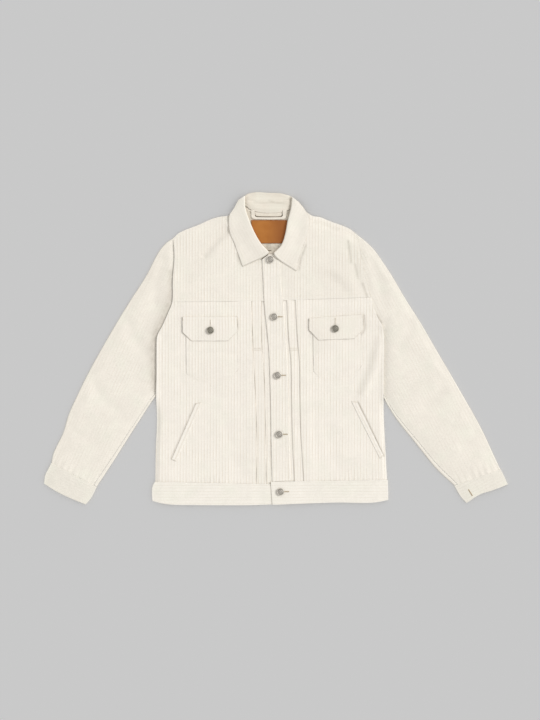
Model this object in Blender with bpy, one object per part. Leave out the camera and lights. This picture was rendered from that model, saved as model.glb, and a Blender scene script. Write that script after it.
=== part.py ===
"""A cream striped denim jacket, buttoned and laid flat with its front up.

Every cut piece is a thin closed wall of cloth in its own object.  Left and right are the
wearer's, so +X is the left side; +Y is the collar and +Z is up, away from the surface that
the jacket lies on.  Tables and sizes are in millimetres, and plan points are measured from
the middle of the outline's width and height, to within 3 mm.
"""
import math

import bmesh
import bpy
from mathutils import Vector

MM = 0.001

# cloth
DENIM = 1.2          # one layer
BAND = 2.2           # two layers sewn together: waistband, cuffs, flaps, collar
LEATHER = 1.6
SEAM = 0.35          # room between two pieces at a seam
LIE = 0.45           # room under a piece that lies on a panel

# how high the layers lie, to the middle of the cloth
BACK_MID = DENIM / 2
LANDING = DENIM + 2 * SEAM  # front over back at a side or a shoulder
FRONT_RISE = 4.4            # front over back away from the edges
ROLL = 26.0                 # the front comes down to its edge over this width
ARMPIT_RISE = 3.1           # the side edge rides over the sleeve below the armpit
ARMPIT_END = -112.0         # and comes down again below this line,
ARMPIT_FADE = 40.0          # over this length

# folds at sleeve edges
FOLD_RADIUS = 1.5
FOLD_STEPS = 4
SLEEVE_LAP = 14.0           # the top sleeve goes this far under at the outer fold
SLEEVE_SEAM = 8.0           # the under sleeve shows this far over the inner fold
SLEEVE_CROWN = 1.6
SLEEVE_ROLL = 32.0

# pleats: a z-fold whose edge faces the buttons
PLEAT_LAP = 7.0
PLEAT_RADIUS = (DENIM + SEAM) / 2
PLEAT_STEPS = 2
PLEAT_STACK = 4 * PLEAT_RADIUS
OUTER_PLEAT_TOP = 5.6
INNER_PLEAT_TOP = {"right": 5.2, "left": 6.7}
LAP_MID = {"right": 2.1, "left": 3.65}     # the fronts where they cross at the buttons
LAP_WIDTH = 42.0
YOKE_LAP = {"right": (-84.0, 24.0), "left": (12.0, 33.0)}   # where the yokes go down, over this width
PATCH_CLEAR = (243.0, 14.0)                # the right yoke stays up over the patch above this line
FRONT_BOTTOM_Y = {"right": -322.0, "left": -315.0}

# collar
COLLAR_ROLL = 2.7           # radius of the neck fold at the front
COLLAR_STAND = 12.0         # neck seam to neck fold, hidden under each leaf
BACK_FOLD_RADIUS = 2.6
LEAF_MID = {"right": 7.1, "left": 7.6}
LEAF_ROLL = 34.0
BAND_CROWN = 0.9            # the waistband's and the cuffs' upper layers stand up by this
CUFF_CROWN = 1.0
NECK_LIFT = BAND + SEAM     # the back leaf lies under the neck of the back yoke
NECK_LIFT_BOX = (-18.0, 84.0, 296.0, 60.0)   # middle x, half width, lowest y, fade

# outlines in plan, each read from the collar down or from the outside in
SHOULDER = {
    "right": [(-77, 339), (-100, 317), (-112, 311.5), (-131, 309), (-150, 304), (-183, 289.5),
              (-226, 272), (-242, 258.5)],
    "left": [(50, 339), (86, 315), (106, 308), (126, 299), (171, 282), (191.5, 267)],
}
ARMHOLE_YOKE = {
    "right": [(-242, 258.5), (-239, 215), (-243, 162), (-244, 108)],
    "left": [(191.5, 267), (201, 217), (213, 158), (224, 119)],
}
ARMHOLE_PANEL = {
    "right": [(-244, 108), (-254, 82), (-266, 54), (-279, 28)],
    "left": [(224, 119), (231, 94), (240, 71), (251, 51)],
}
SIDE = {
    "right": [(-279, 28), (-281, -10), (-281, -60), (-282, -114), (-280, -171), (-283, -240),
              (-284, -315)],
    "left": [(251, 51), (255, 18), (254, -50), (254, -118), (255, -171), (259, -248),
             (262.5, -311)],
}
SLEEVE_OUTER = {
    "right": [(-242, 258.5), (-258.5, 247), (-276, 226), (-306, 169), (-342, 113), (-377, 56),
              (-410, -1), (-441, -57), (-469, -114), (-488, -156), (-501, -199), (-513, -224),
              (-525, -250), (-529, -271)],
    "left": [(191.5, 267), (209, 253), (230, 233), (255, 198), (274, 169), (307, 113), (343, 56),
             (376, -1), (409, -57), (442, -114), (466, -156), (489, -199), (513, -251),
             (529.5, -286)],
}
SLEEVE_INNER = {
    "right": [(-294.5, -129.5), (-313, -158), (-349, -214), (-384, -269.5), (-422, -327.5)],
    "left": [(266, -129.5), (287.5, -172), (333.5, -229.5), (378, -284.5), (420.5, -324.5)],
}
SIDE_CLEAR = 0.5            # the sleeve stops this far off the body's side
CUFF_HEM = {
    "right": [(-546.5, -320.5), (-515, -340), (-481.5, -356), (-448, -369.5)],
    "left": [(547, -322.5), (510, -336.5), (481, -346), (450, -366)],
}
CUFF_OUTER = {
    "right": [(-529, -271), (-536, -285), (-543.5, -300), (-546.5, -320.5)],
    "left": [(529.5, -286), (536, -298), (542, -311), (547, -322.5)],
}
CUFF_INNER = {
    "right": [(-422, -327.5), (-435, -353.5), (-448, -369.5)],
    "left": [(420.5, -324.5), (436.5, -351.5), (450, -366)],
}
HEM = [(-291, -361), (-273, -366), (-245, -370), (-188, -371), (-132, -371.5), (-47, -371),
       (6, -370), (38, -368.5), (95, -366.5), (152, -365), (208, -366), (237, -364.5), (265, -359)]
WAIST_SIDE = {
    "right": [(-285, -315.4), (-291, -328), (-292, -345), (-291, -361)],
    "left": [(264, -311.4), (264.5, -328), (265, -345), (265, -359)],
}
BACK_NECK = [(-77, 339), (-62, 326), (-40, 320), (-14, 318), (12, 320), (36, 326), (50, 339)]
BACK_WAIST = [(-285, -315.4), (-60, -323.4), (80, -323.4), (264, -311.4)]
YOKE_SEAM_Y = 106.0
BUTTON_EDGE = [(-33.5, 208), (-29.5, 160), (-27.5, 110), (-22, 54), (-16, -8), (-12, -123),
               (-10, -241), (-8, -315)]
PLACKET_STITCH = [(9, 206), (12, 148), (17, 110), (21, 54), (27, -30), (30, -123), (32, -241),
                  (36, -313)]
PLEATS = {
    "right": {"outer": [(-58, 104), (-54, 6), (-52, -43), (-48, -123), (-45, -222), (-46, -318)],
              "inner": [(-34, 106), (-33, 6), (-29, -48), (-26, -123), (-24, -218), (-23, -319)]},
    "left": {"outer": [(46, 112), (51, 21), (56, -36), (57, -107), (59, -194), (66, -311)],
             "inner": [(26, 112), (30, 28), (36, -36), (37, -114), (40, -227), (44, -312)]},
}

# the front corners of the yokes at the neck
NECK_CORNERS = {"right": [(9, 211), (9, 208)], "left": [(-18, 221), (-33, 210)]}

# the collar leaves: neck fold x y, then the leaf's free edge x y, from shoulder to button
LEAF = {
    "right": [(-72.5, 358, -88.5, 347.5), (-72.5, 345, -98.5, 328.5), (-71, 327, -110, 309),
              (-62, 300, -108.5, 274), (-49, 270, -98, 247), (-34.5, 246, -87.5, 218),
              (-17, 228, -78, 191)],
    "left": [(38, 355.5, 54, 343), (37, 343, 67, 327.5), (35, 327, 79, 303), (28, 300, 76, 272),
             (22.5, 270, 66.5, 244), (13.5, 243, 55, 212), (-2, 227, 49, 180)],
}
# the collar behind the neck: neck seam x y, fold x y, hidden free edge x y
COLLAR_BACK = [(-66, 330, -67, 362.5, -82, 316), (-57, 325, -58.5, 365, -69, 308),
               (-40, 319.6, -43, 367, -48, 303), (-14, 317.6, -17, 365.5, -17, 301),
               (12, 319.6, 9, 364.5, 15, 303), (26, 323.2, 22, 361.5, 34, 308),
               (35, 327, 32, 358.5, 48, 317)]

# pieces that lie on the fronts
FLAP = {
    "right": [(-220, 73), (-90, 73), (-90, 39), (-113, 16), (-198, 16), (-220, 37)],
    "left": [(78, 69), (206, 79), (206, 43), (184, 21), (101, 18), (78, 42)],
}
POCKET = {
    "right": [(-212, 61), (-90, 61), (-89, -52), (-112, -80), (-188, -80), (-211, -60)],
    "left": [(87, 59), (199, 67), (206, -36), (183, -74), (111, -80), (89, -56)],
}
WELT = {
    "right": [(-188, -131), (-174, -128), (-234, -268), (-246, -263)],
    "left": [(178, -126), (192, -127), (254, -254), (246, -262)],
}
PATCH_BOX = (-58, 27, 246, 301)
LOOP = [(-58, 317, -49, 317), (-58, 309, -49, 311), (-55, 304.5, -46, 308.5), (-49, 303, -42, 308),
        (-17, 302, -17, 307.5), (16, 303, 9, 308), (22, 304.5, 13, 308.5), (25, 309, 16, 311),
        (25, 317, 16, 317)]

# soft folds in the fronts: from x y, to x y, half width, depth
FOLDS = [
    (243, 32, 196, -112, 15.0, 1.5),
    (-113, 280, -170, 217, 17.0, 1.0),
    (168, 240, 198, 140, 12.0, 0.9),
    (-236, -40, -206, -118, 15.0, 0.8),
    (-120, -170, -96, -290, 18.0, 0.6),
    (120, -180, 150, -290, 18.0, 0.6),
]
# soft folds in the top sleeves
SLEEVE_FOLDS = [
    (-262, 214, -286, 92, 16.0, 1.2),
    (-352, 60, -300, -16, 15.0, 1.0),
    (-436, -72, -372, -150, 16.0, 1.1),
    (-492, -176, -436, -214, 14.0, 0.9),
    (224, 206, 252, 96, 16.0, 1.2),
    (322, 64, 280, -12, 15.0, 1.0),
    (404, -74, 346, -144, 16.0, 1.1),
    (476, -190, 430, -236, 14.0, 0.9),
]

# buttons: radius and height up the turned profile
BUTTON_PROFILE = [(3.6, 0.0), (3.6, 1.7), (8.4, 2.0), (8.7, 2.8), (7.6, 3.7), (6.2, 3.3)]
BUTTON_TOP = 3.8
BUTTON_SIDES = 14
FRONT_BUTTONS = [(-13, 208), (-4, 73), (4, -65), (8, -204), (11, -339)]
FLAP_BUTTONS = {"right": (-154, 41), "left": (140, 45)}

COLOURS = {   # base colour, roughness, metallic
    "denim": ((0.89, 0.85, 0.77), 0.85, 0.0),
    "band": ((0.88, 0.84, 0.75), 0.85, 0.0),
    "leather": ((0.44, 0.22, 0.09), 0.55, 0.0),
    "metal": ((0.36, 0.33, 0.29), 0.40, 0.9),
}

# where extra rows and lines of points go, as fractions of a piece
NECK_ROWS = (0.09, 0.18, 0.27, 0.36)
LAP_LINES = (0.72, 0.78, 0.83)
FRONT_LINES = (0.0, 0.05, 0.12, 0.22, 0.33, 0.45, 0.58, 0.72, 0.86, 1.0)
LEAF_LINES = (0.25, 0.4, 0.55, 0.7, 0.85, 1.0)
NO_TRIM = (0.0, 0.0)
STRAY = 0.01
HALVINGS = 30


def ease(amount):
    """Smooth step from 0 to 1."""
    amount = min(max(amount, 0.0), 1.0)
    return amount * amount * (3.0 - 2.0 * amount)


def mix(low, high, amount):
    """Value part of the way from low to high."""
    return low + (high - low) * amount


def distance(x, y, points):
    """Distance in plan from a place to a run of straight pieces."""
    best = math.inf
    for (ax, ay), (bx, by) in zip(points, points[1:]):
        length = (bx - ax) ** 2 + (by - ay) ** 2
        part = ((x - ax) * (bx - ax) + (y - ay) * (by - ay)) / length
        part = min(max(part, 0.0), 1.0)
        best = min(best, math.hypot(x - mix(ax, bx, part), y - mix(ay, by, part)))
    return best


def spread(knots, most):
    """Sorted fractions without repeats, with no step longer than the most."""
    kept = [0.0]
    for knot in sorted(knots):
        if knot - kept[-1] > STRAY / 4:
            kept.append(knot)
    kept[-1] = 1.0
    filled = [0.0]
    for low, high in zip(kept, kept[1:]):
        pieces = math.ceil((high - low) / most - STRAY)
        filled.extend(mix(low, high, (i + 1) / pieces) for i in range(pieces))
    return filled


def trimmed(steps, trim, length):
    """Fractions of a length with its two ends cut back."""
    return [trim[0] / length] + steps[1:-1] + [1.0 - trim[1] / length]


class Edge:
    """A run of straight pieces in plan, read by length or by fraction of its length."""

    def __init__(self, points):
        self.points = [Vector((x, y)) for x, y in points]
        self.marks = [0.0]
        for a, b in zip(self.points, self.points[1:]):
            self.marks.append(self.marks[-1] + (b - a).length)
        self.length = self.marks[-1]
        self.knots = [mark / self.length for mark in self.marks]

    def place(self, length):
        """Plan point at a length along the run."""
        for i in range(len(self.points) - 1):
            if length <= self.marks[i + 1] or i == len(self.points) - 2:
                part = (length - self.marks[i]) / (self.marks[i + 1] - self.marks[i])
                return self.points[i].lerp(self.points[i + 1], part)

    def at(self, fraction):
        """Plan point at a fraction of the run."""
        return self.place(fraction * self.length)


class Panel:
    """Plan points of a cut piece between four edges.

    start and end run across it, low and high run along it from start to end.
    """

    def __init__(self, start, end, low, high):
        self.start = Edge(start)
        self.end = Edge(end)
        self.low = Edge(low)
        self.high = Edge(high)

    def at(self, u, v):
        """Plan point at the fraction u along and v across."""
        sides = self.low.at(u).lerp(self.high.at(u), v)
        ends = self.start.at(v).lerp(self.end.at(v), u)
        start_chord = self.start.at(0).lerp(self.start.at(1), v)
        end_chord = self.end.at(0).lerp(self.end.at(1), v)
        return sides + ends - start_chord.lerp(end_chord, u)

    def along(self, most, trim, followed, extra=()):
        """Fractions along the piece, at the corners of the followed edges, its ends trimmed."""
        mean = (self.low.length + self.high.length) / 2
        knots = [knot for edge in followed for knot in edge.knots]
        return trimmed(spread(knots + list(extra), most), trim, mean)

    def across(self, most, trim, followed, extra=()):
        """Fractions across the piece, at the corners of the followed edges, its ends trimmed."""
        mean = (self.start.length + self.end.length) / 2
        knots = [knot for edge in followed for knot in edge.knots]
        return trimmed(spread(knots + list(extra), most), trim, mean)


def material(kind):
    """Principled material of one of the named kinds."""
    colour, roughness, metallic = COLOURS[kind]
    made = bpy.data.materials.new(kind)
    made.use_nodes = True
    shader = made.node_tree.nodes["Principled BSDF"]
    shader.inputs["Base Color"].default_value = (*colour, 1.0)
    shader.inputs["Roughness"].default_value = roughness
    shader.inputs["Metallic"].default_value = metallic
    return made


def add_object(name, points, faces, kind):
    """Object of a closed mesh, its points given in millimetres."""
    shape = bmesh.new()
    corners = [shape.verts.new(Vector(point) * MM) for point in points]
    for face in faces:
        shape.faces.new([corners[i] for i in face])
    bmesh.ops.recalc_face_normals(shape, faces=shape.faces)
    mesh = bpy.data.meshes.new(name)
    shape.to_mesh(mesh)
    shape.free()
    mesh.materials.append(material(kind))
    made = bpy.data.objects.new(name, mesh)
    bpy.context.collection.objects.link(made)
    return made


def wall(name, rows, thickness, kind):
    """Closed wall of even thickness about rows of points in the middle of the cloth."""
    grid = [[Vector(point) for point in row] for row in rows]
    tall, wide = len(grid), len(grid[0])
    outer = []
    inner = []
    for i in range(tall):
        for j in range(wide):
            down = grid[min(i + 1, tall - 1)][j] - grid[max(i - 1, 0)][j]
            over = grid[i][min(j + 1, wide - 1)] - grid[i][max(j - 1, 0)]
            normal = down.cross(over).normalized() * (thickness / 2)
            outer.append(grid[i][j] + normal)
            inner.append(grid[i][j] - normal)
    count = tall * wide
    faces = []
    for i in range(tall - 1):
        for j in range(wide - 1):
            a = i * wide + j
            for one, two, three in ((a, a + 1, a + 1 + wide), (a, a + 1 + wide, a + wide)):
                faces.append((one, two, three))
                faces.append((count + one, count + three, count + two))
    rim = list(range(wide))
    rim += [i * wide + wide - 1 for i in range(1, tall)]
    rim += [(tall - 1) * wide + j for j in range(wide - 2, -1, -1)]
    rim += [i * wide for i in range(tall - 2, 0, -1)]
    for a, b in zip(rim, rim[1:] + rim[:1]):
        faces += [(a, b, count + b), (a, count + b, count + a)]
    return add_object(name, outer + inner, faces, kind)


def lay(name, panel, height, thickness, kind, most, trim=NO_TRIM, plain=(), rows_at=(), lines_at=()):
    """Wall of a panel, its middle at height(x, y).

    most: longest steps along and across, as fractions.  trim: cut back at start and end.
    plain: edges whose corners the grid need not follow.
    rows_at, lines_at: more steps along and across, as fractions.
    """
    sides = [edge for edge in (panel.low, panel.high) if edge not in plain]
    ends = [edge for edge in (panel.start, panel.end) if edge not in plain]
    rows = []
    for u in panel.along(most[0], trim, sides, rows_at):
        places = [panel.at(u, v) for v in panel.across(most[1], NO_TRIM, ends, lines_at)]
        rows.append([(x, y, height(x, y)) for x, y in places])
    return wall(name, rows, thickness, kind)


def creases(x, y, table):
    """Height that the soft folds take away at a place."""
    depth = 0.0
    for ax, ay, bx, by, half_width, deep in table:
        away = distance(x, y, [(ax, ay), (bx, by)]) / half_width
        depth += deep * math.exp(-away * away)
    return depth


def back_mid(x, y):
    """Middle of the back layer: on the surface, lifted at the neck by the collar under it."""
    middle, half, low, fade = NECK_LIFT_BOX
    away = math.hypot(max(abs(x - middle) - half, 0.0), max(low - y, 0.0))
    return BACK_MID + NECK_LIFT * ease(1.0 - away / fade)


def front_mid(x, y):
    """Middle of the front layer away from its edges."""
    return back_mid(x, y) + FRONT_RISE - creases(x, y, FOLDS)


def yoke_mid(side):
    """Height rule of a front yoke, down at the shoulder and at the buttons."""
    def height(x, y):
        land = back_mid(x, y) + LANDING
        z = mix(land, front_mid(x, y), ease(distance(x, y, SHOULDER[side]) / ROLL))
        low_x, fade_x = YOKE_LAP[side]
        top_y, fade_y = PATCH_CLEAR
        if side == "right":
            return mix(z, LAP_MID[side], ease((x - low_x) / fade_x) * ease((top_y - y) / fade_y))
        return mix(LAP_MID[side], z, ease((x - low_x) / fade_x))
    return height


def panel_mid(side):
    """Height rule of a front panel outside its pleats, down at the side."""
    def height(x, y):
        rim = back_mid(x, y) + LANDING + ARMPIT_RISE * ease(1.0 - (ARMPIT_END - y) / ARMPIT_FADE)
        return mix(rim, front_mid(x, y), ease(distance(x, y, SIDE[side]) / ROLL))
    return height


def fold_arc(s, z, radius, steps, out, up):
    """Middle points of a half turn: from (s, z) through s + out * radius to z + up * 2 radii."""
    points = []
    for i in range(1, steps):
        angle = math.pi * i / steps
        points.append((s + out * radius * math.sin(angle), z + up * radius * (1.0 - math.cos(angle))))
    return points


def pleat(s, top):
    """Middle points of one z-fold: along the top to the edge at s, back under, and on below."""
    edge = s - DENIM / 2 - PLEAT_RADIUS
    root = s - PLEAT_LAP + PLEAT_RADIUS
    under = top - 2 * PLEAT_RADIUS
    low = top - PLEAT_STACK
    run = [(s - PLEAT_LAP - PLEAT_RADIUS, top), (edge, top)]
    run += fold_arc(edge, top, PLEAT_RADIUS, PLEAT_STEPS, 1, -1)
    run += [(edge, under), (root, under)]
    run += fold_arc(root, under, PLEAT_RADIUS, PLEAT_STEPS, -1, -1)
    run += [(root, low), (s + PLEAT_RADIUS, low)]
    return run


def line_x(y, line):
    """x at which a line that runs down the garment passes a height y."""
    for (ax, ay), (bx, by) in zip(line, line[1:]):
        if y >= by or (bx, by) == line[-1]:
            return mix(ax, bx, min(max((ay - y) / (ay - by), 0.0), 1.0))


def crossing(path, line):
    """Length along a row at which it meets a pleat line."""
    low = 0.0
    high = path.length
    way = math.copysign(1.0, path.at(1).x - path.at(0).x)
    for _ in range(HALVINGS):
        middle = (low + high) / 2
        x, y = path.place(middle)
        if way * (x - line_x(y, line)) > 0.0:
            high = middle
        else:
            low = middle
    return (low + high) / 2


def front_panel(side):
    """Front panel with its two knife pleats, read in rows from the side to the buttons."""
    reach = LAP_WIDTH if side == "right" else 0.0
    middle = [(x + reach, y) for x, y in BUTTON_EDGE if y < YOKE_SEAM_Y + 9.0]
    middle[-1] = (middle[-1][0], FRONT_BOTTOM_Y[side])
    outer = ARMHOLE_PANEL[side] + SIDE[side][1:]
    panel = Panel([outer[0], middle[0]], [outer[-1], middle[-1]], outer, middle)
    height = panel_mid(side)
    rows = []
    for u in panel.along(0.1, (SEAM, SEAM), [panel.low]):
        path = Edge([panel.at(u, i / 4) for i in range(5)])
        first = crossing(path, PLEATS[side]["outer"])
        second = crossing(path, PLEATS[side]["inner"])
        plain = first - 2 * PLEAT_LAP
        section = []
        for part in FRONT_LINES:
            x, y = path.place(part * plain)
            z = OUTER_PLEAT_TOP if part == 1.0 else height(x, y)
            section.append((part * plain, z))
        section += pleat(first, OUTER_PLEAT_TOP)
        section += pleat(second, INNER_PLEAT_TOP[side])
        section += [(second + PLEAT_LAP / 2, LAP_MID[side]), (path.length, LAP_MID[side])]
        rows.append([(*path.place(s), z) for s, z in section])
    return wall("front_panel_" + side, rows, DENIM, "denim")


def neck_line(side):
    """Plan points of the neck seam under a collar leaf, from the shoulder seam down."""
    line = []
    for fold_x, fold_y, free_x, free_y in LEAF[side][1:]:
        way = (Vector((free_x, free_y)) - Vector((fold_x, fold_y))).normalized()
        place = Vector((fold_x, fold_y)) + way * (COLLAR_STAND + SEAM)
        line.append((place.x, place.y))
    return line


def front_yoke(side):
    """Front yoke: shoulder at its start, chest seam at its end."""
    reach = LAP_WIDTH if side == "right" else 0.0
    neck = neck_line(side)
    top = SHOULDER[side][:0:-1] + [neck[0]]
    edge = [(x + reach, y) for x, y in BUTTON_EDGE if YOKE_SEAM_Y < y < NECK_CORNERS[side][1][1] - 9.0]
    inner = neck + NECK_CORNERS[side] + edge
    outer = ARMHOLE_YOKE[side]
    panel = Panel(top, [outer[-1], inner[-1]], outer, inner)
    lay("front_yoke_" + side, panel, yoke_mid(side), DENIM, "denim", (0.2, 0.2), lines_at=LAP_LINES)


def sleeve(side):
    """Two-piece sleeve: the top piece wraps the outer fold, the under piece the inner fold."""
    away = -SIDE_CLEAR if side == "right" else SIDE_CLEAR
    hidden = [(x + away, y) for x, y in SIDE[side] if y > ARMPIT_END - 10.0]
    start = ARMHOLE_YOKE[side] + ARMHOLE_PANEL[side][1:-1] + hidden
    inner = [hidden[-1]] + SLEEVE_INNER[side]
    outer = SLEEVE_OUTER[side]
    panel = Panel(start, [outer[-1], inner[-1]], outer, inner)
    knots = spread(panel.start.knots, 0.14)
    top_rows = []
    under_rows = []
    turn = FOLD_RADIUS + DENIM / 2
    over = BACK_MID + 2 * FOLD_RADIUS
    for u in panel.along(0.1, (2 * SEAM, 0.0), [panel.low]):
        path = Edge([panel.at(u, v) for v in knots])
        width = path.length
        top = [(turn + SLEEVE_LAP, BACK_MID), (turn, BACK_MID)]
        top += fold_arc(turn, BACK_MID, FOLD_RADIUS, FOLD_STEPS, -1, 1)
        top.append((turn, over))
        middle = [mark for knot, mark in zip(knots, path.marks) if 0.05 < knot < 0.9]
        for s in middle:
            x, y = path.place(s)
            crown = ease(s / SLEEVE_ROLL) * ease((width - s) / SLEEVE_ROLL)
            crown *= ease(distance(x, y, hidden) / SLEEVE_ROLL)
            top.append((s, over + (SLEEVE_CROWN - creases(x, y, SLEEVE_FOLDS)) * crown))
        top.append((width - SLEEVE_SEAM - SEAM, over))
        top_rows.append([(*path.place(s), z) for s, z in top])
        under = [(turn + SLEEVE_LAP + SEAM, BACK_MID)]
        under += [(s, BACK_MID) for s in middle[1:]]
        under.append((width - turn, BACK_MID))
        under += fold_arc(width - turn, BACK_MID, FOLD_RADIUS, FOLD_STEPS, 1, 1)
        under += [(width - turn, over), (width - SLEEVE_SEAM, over)]
        under_rows.append([(*path.place(s), z) for s, z in under])
    wall("top_sleeve_" + side, top_rows, DENIM, "denim")
    wall("under_sleeve_" + side, under_rows, DENIM, "denim")


def cuffs(side):
    """Upper and under layer of a buttoned cuff pressed flat."""
    seam = [CUFF_OUTER[side][0], CUFF_INNER[side][0]]
    panel = Panel(seam, CUFF_HEM[side], CUFF_OUTER[side], CUFF_INNER[side])
    rim = CUFF_OUTER[side], CUFF_INNER[side]
    low = BAND / 2

    def upper(x, y):
        nearest = min(distance(x, y, run) for run in rim)
        return low + BAND + SEAM + CUFF_CROWN * ease(nearest / ROLL)

    trim = (SEAM, 0.0)
    plain = (panel.high,)
    lay("cuff_" + side + "_upper", panel, upper, BAND, "band", (0.5, 0.2), trim, plain)
    lay("cuff_" + side + "_under", panel, lambda x, y: low, BAND, "band", (0.5, 0.5), trim, plain)


def back():
    """Back yoke, back panel and back waistband, flat on the surface but for the neck."""
    left = SHOULDER["left"]
    right = SHOULDER["right"]
    top = right[::-1] + BACK_NECK[1:-1] + left
    seam = [(ARMHOLE_YOKE["right"][-1][0], YOKE_SEAM_Y), (ARMHOLE_YOKE["left"][-1][0], YOKE_SEAM_Y)]
    arm_right = ARMHOLE_YOKE["right"][:-1] + [seam[0]]
    arm_left = ARMHOLE_YOKE["left"][:-1] + [seam[1]]
    panel = Panel(top, seam, arm_right, arm_left)
    lay("back_yoke", panel, back_mid, DENIM, "denim", (0.25, 0.1), rows_at=NECK_ROWS)
    side_right = [seam[0]] + ARMHOLE_PANEL["right"][1:] + SIDE["right"][1:]
    side_left = [seam[1]] + ARMHOLE_PANEL["left"][1:] + SIDE["left"][1:]
    bottom = [side_right[-1]] + BACK_WAIST[1:-1] + [side_left[-1]]
    panel = Panel(seam, bottom, side_right, side_left)
    lay("back_panel", panel, back_mid, DENIM, "denim", (0.2, 0.5), (SEAM, SEAM))
    panel = Panel(BACK_WAIST, HEM, WAIST_SIDE["right"], WAIST_SIDE["left"])
    lay("waistband_back", panel, lambda x, y: BAND / 2, BAND, "band", (0.5, 0.2), plain=(panel.high,))


def front_waistbands():
    """Front halves of the waistband, the left one over the right one at the button."""
    lower = BAND + SEAM + BAND / 2
    upper = lower + BAND + SEAM
    end_x = BUTTON_EDGE[-1][0]
    lap_x = end_x + LAP_WIDTH

    def right_mid(x, y):
        clear = max(end_x - ROLL - x, 0.0)
        away = min(distance(x, y, WAIST_SIDE["right"]), clear)
        return lower + BAND_CROWN * ease(away / ROLL)

    def left_mid(x, y):
        away = distance(x, y, WAIST_SIDE["left"])
        plain = lower + BAND_CROWN * ease(away / ROLL)
        return mix(upper, plain, ease((x - lap_x - 2.0) / 40.0))

    hem = [point for point in HEM if point[0] < end_x] + [(lap_x - 4.0, -367.0)]
    seam = [WAIST_SIDE["right"][0], (lap_x - 4.0, -322.4)]
    panel = Panel(seam, hem, WAIST_SIDE["right"], [seam[1], hem[-1]])
    lay("waistband_front_right", panel, right_mid, BAND, "band", (0.5, 0.14))
    hem = [(end_x, -370.0)] + [point for point in HEM if point[0] > end_x]
    seam = [(end_x - 4.0, -315.4), WAIST_SIDE["left"][0]]
    panel = Panel(seam, hem, [seam[0], hem[0]], WAIST_SIDE["left"])
    lay("waistband_front_left", panel, left_mid, BAND, "band", (0.5, 0.14))


def placket():
    """Strip along the buttonholes, on the left front."""
    left = [(-32, 209)] + BUTTON_EDGE[1:]
    top = [(-32, 209), (-18, 219), (-5, 213), (9, 204)]
    right = [(9, 204)] + PLACKET_STITCH[1:]
    panel = Panel(top, [left[-1], right[-1]], left, right)
    mid = LAP_MID["left"] + DENIM / 2 + LIE + DENIM / 2
    lay("placket", panel, lambda x, y: mid, DENIM, "denim", (0.2, 0.5), plain=(panel.high,))


def on_front(name, outline, side, under, thickness, kind):
    """Six-cornered piece on a front panel: top edge, sides and cut-off lower corners."""
    top_a, top_b, side_b, low_b, low_a, side_a = outline
    panel = Panel([top_a, top_b], [low_a, low_b], [top_a, side_a, low_a], [top_b, side_b, low_b])
    height = panel_mid(side)
    lift = DENIM / 2 + under + LIE + thickness / 2
    lay(name, panel, lambda x, y: height(x, y) + lift, thickness, kind, (0.3, 0.2))


def welt(side):
    """Slanted welt of a hand pocket."""
    top_a, top_b, low_b, low_a = WELT[side]
    panel = Panel([top_a, top_b], [low_a, low_b], [top_a, low_a], [top_b, low_b])
    height = panel_mid(side)
    lift = DENIM / 2 + LIE + DENIM / 2
    lay("welt_" + side, panel, lambda x, y: height(x, y) + lift, DENIM, "band", (0.14, 0.5))


def collar_leaf(side):
    """Collar leaf: up from the neck seam, round the neck fold, and down on the yoke."""
    rows = []
    for fold_x, fold_y, free_x, free_y in LEAF[side]:
        path = Edge([(fold_x, fold_y), (free_x, free_y)])
        lift = back_mid(fold_x, fold_y) - BACK_MID
        stand = BACK_MID + FRONT_RISE + lift
        turn = COLLAR_ROLL + BAND / 2
        crest = stand + 2 * COLLAR_ROLL
        section = [(COLLAR_STAND, stand), (turn, stand)]
        section += fold_arc(turn, stand, COLLAR_ROLL, FOLD_STEPS, -1, 1)
        section.append((turn, crest))
        for part in LEAF_LINES:
            s = mix(turn, path.length, part)
            x, y = path.place(s)
            flat = LEAF_MID[side] + back_mid(x, y) - BACK_MID
            section.append((s, mix(crest, flat, ease((s - turn) / LEAF_ROLL))))
        rows.append([(*path.place(s), z) for s, z in section])
    wall("collar_leaf_" + side, rows, BAND, "band")


def collar_back():
    """Collar behind the neck: stand up to the fold, then the leaf back under the yoke."""
    low = BAND / 2
    rows = []
    for seam_x, seam_y, fold_x, fold_y, free_x, free_y in COLLAR_BACK:
        stand = Edge([(seam_x, seam_y), (fold_x, fold_y)])
        leaf = Edge([(fold_x, fold_y), (free_x, free_y)])
        turn = BACK_FOLD_RADIUS + BAND / 2
        over = low + 2 * BACK_FOLD_RADIUS
        row = []
        for part in (0.0, 0.35, 0.7):
            row.append((*stand.place(part * (stand.length - turn)), over))
        knee = stand.place(stand.length - turn)
        start = leaf.place(turn)
        row.append((*knee, over))
        outward = (Vector((fold_x, fold_y)) - (knee + start) / 2).normalized()
        for i in range(1, FOLD_STEPS):
            angle = math.pi * i / FOLD_STEPS
            place = knee.lerp(start, i / FOLD_STEPS) + outward * BACK_FOLD_RADIUS * math.sin(angle)
            row.append((*place, over - BACK_FOLD_RADIUS * (1.0 - math.cos(angle))))
        for part in (0.0, 0.33, 0.67, 1.0):
            row.append((*leaf.place(mix(turn, leaf.length, part)), low))
        rows.append(row)
    wall("collar_back", rows, BAND, "band")


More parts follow.
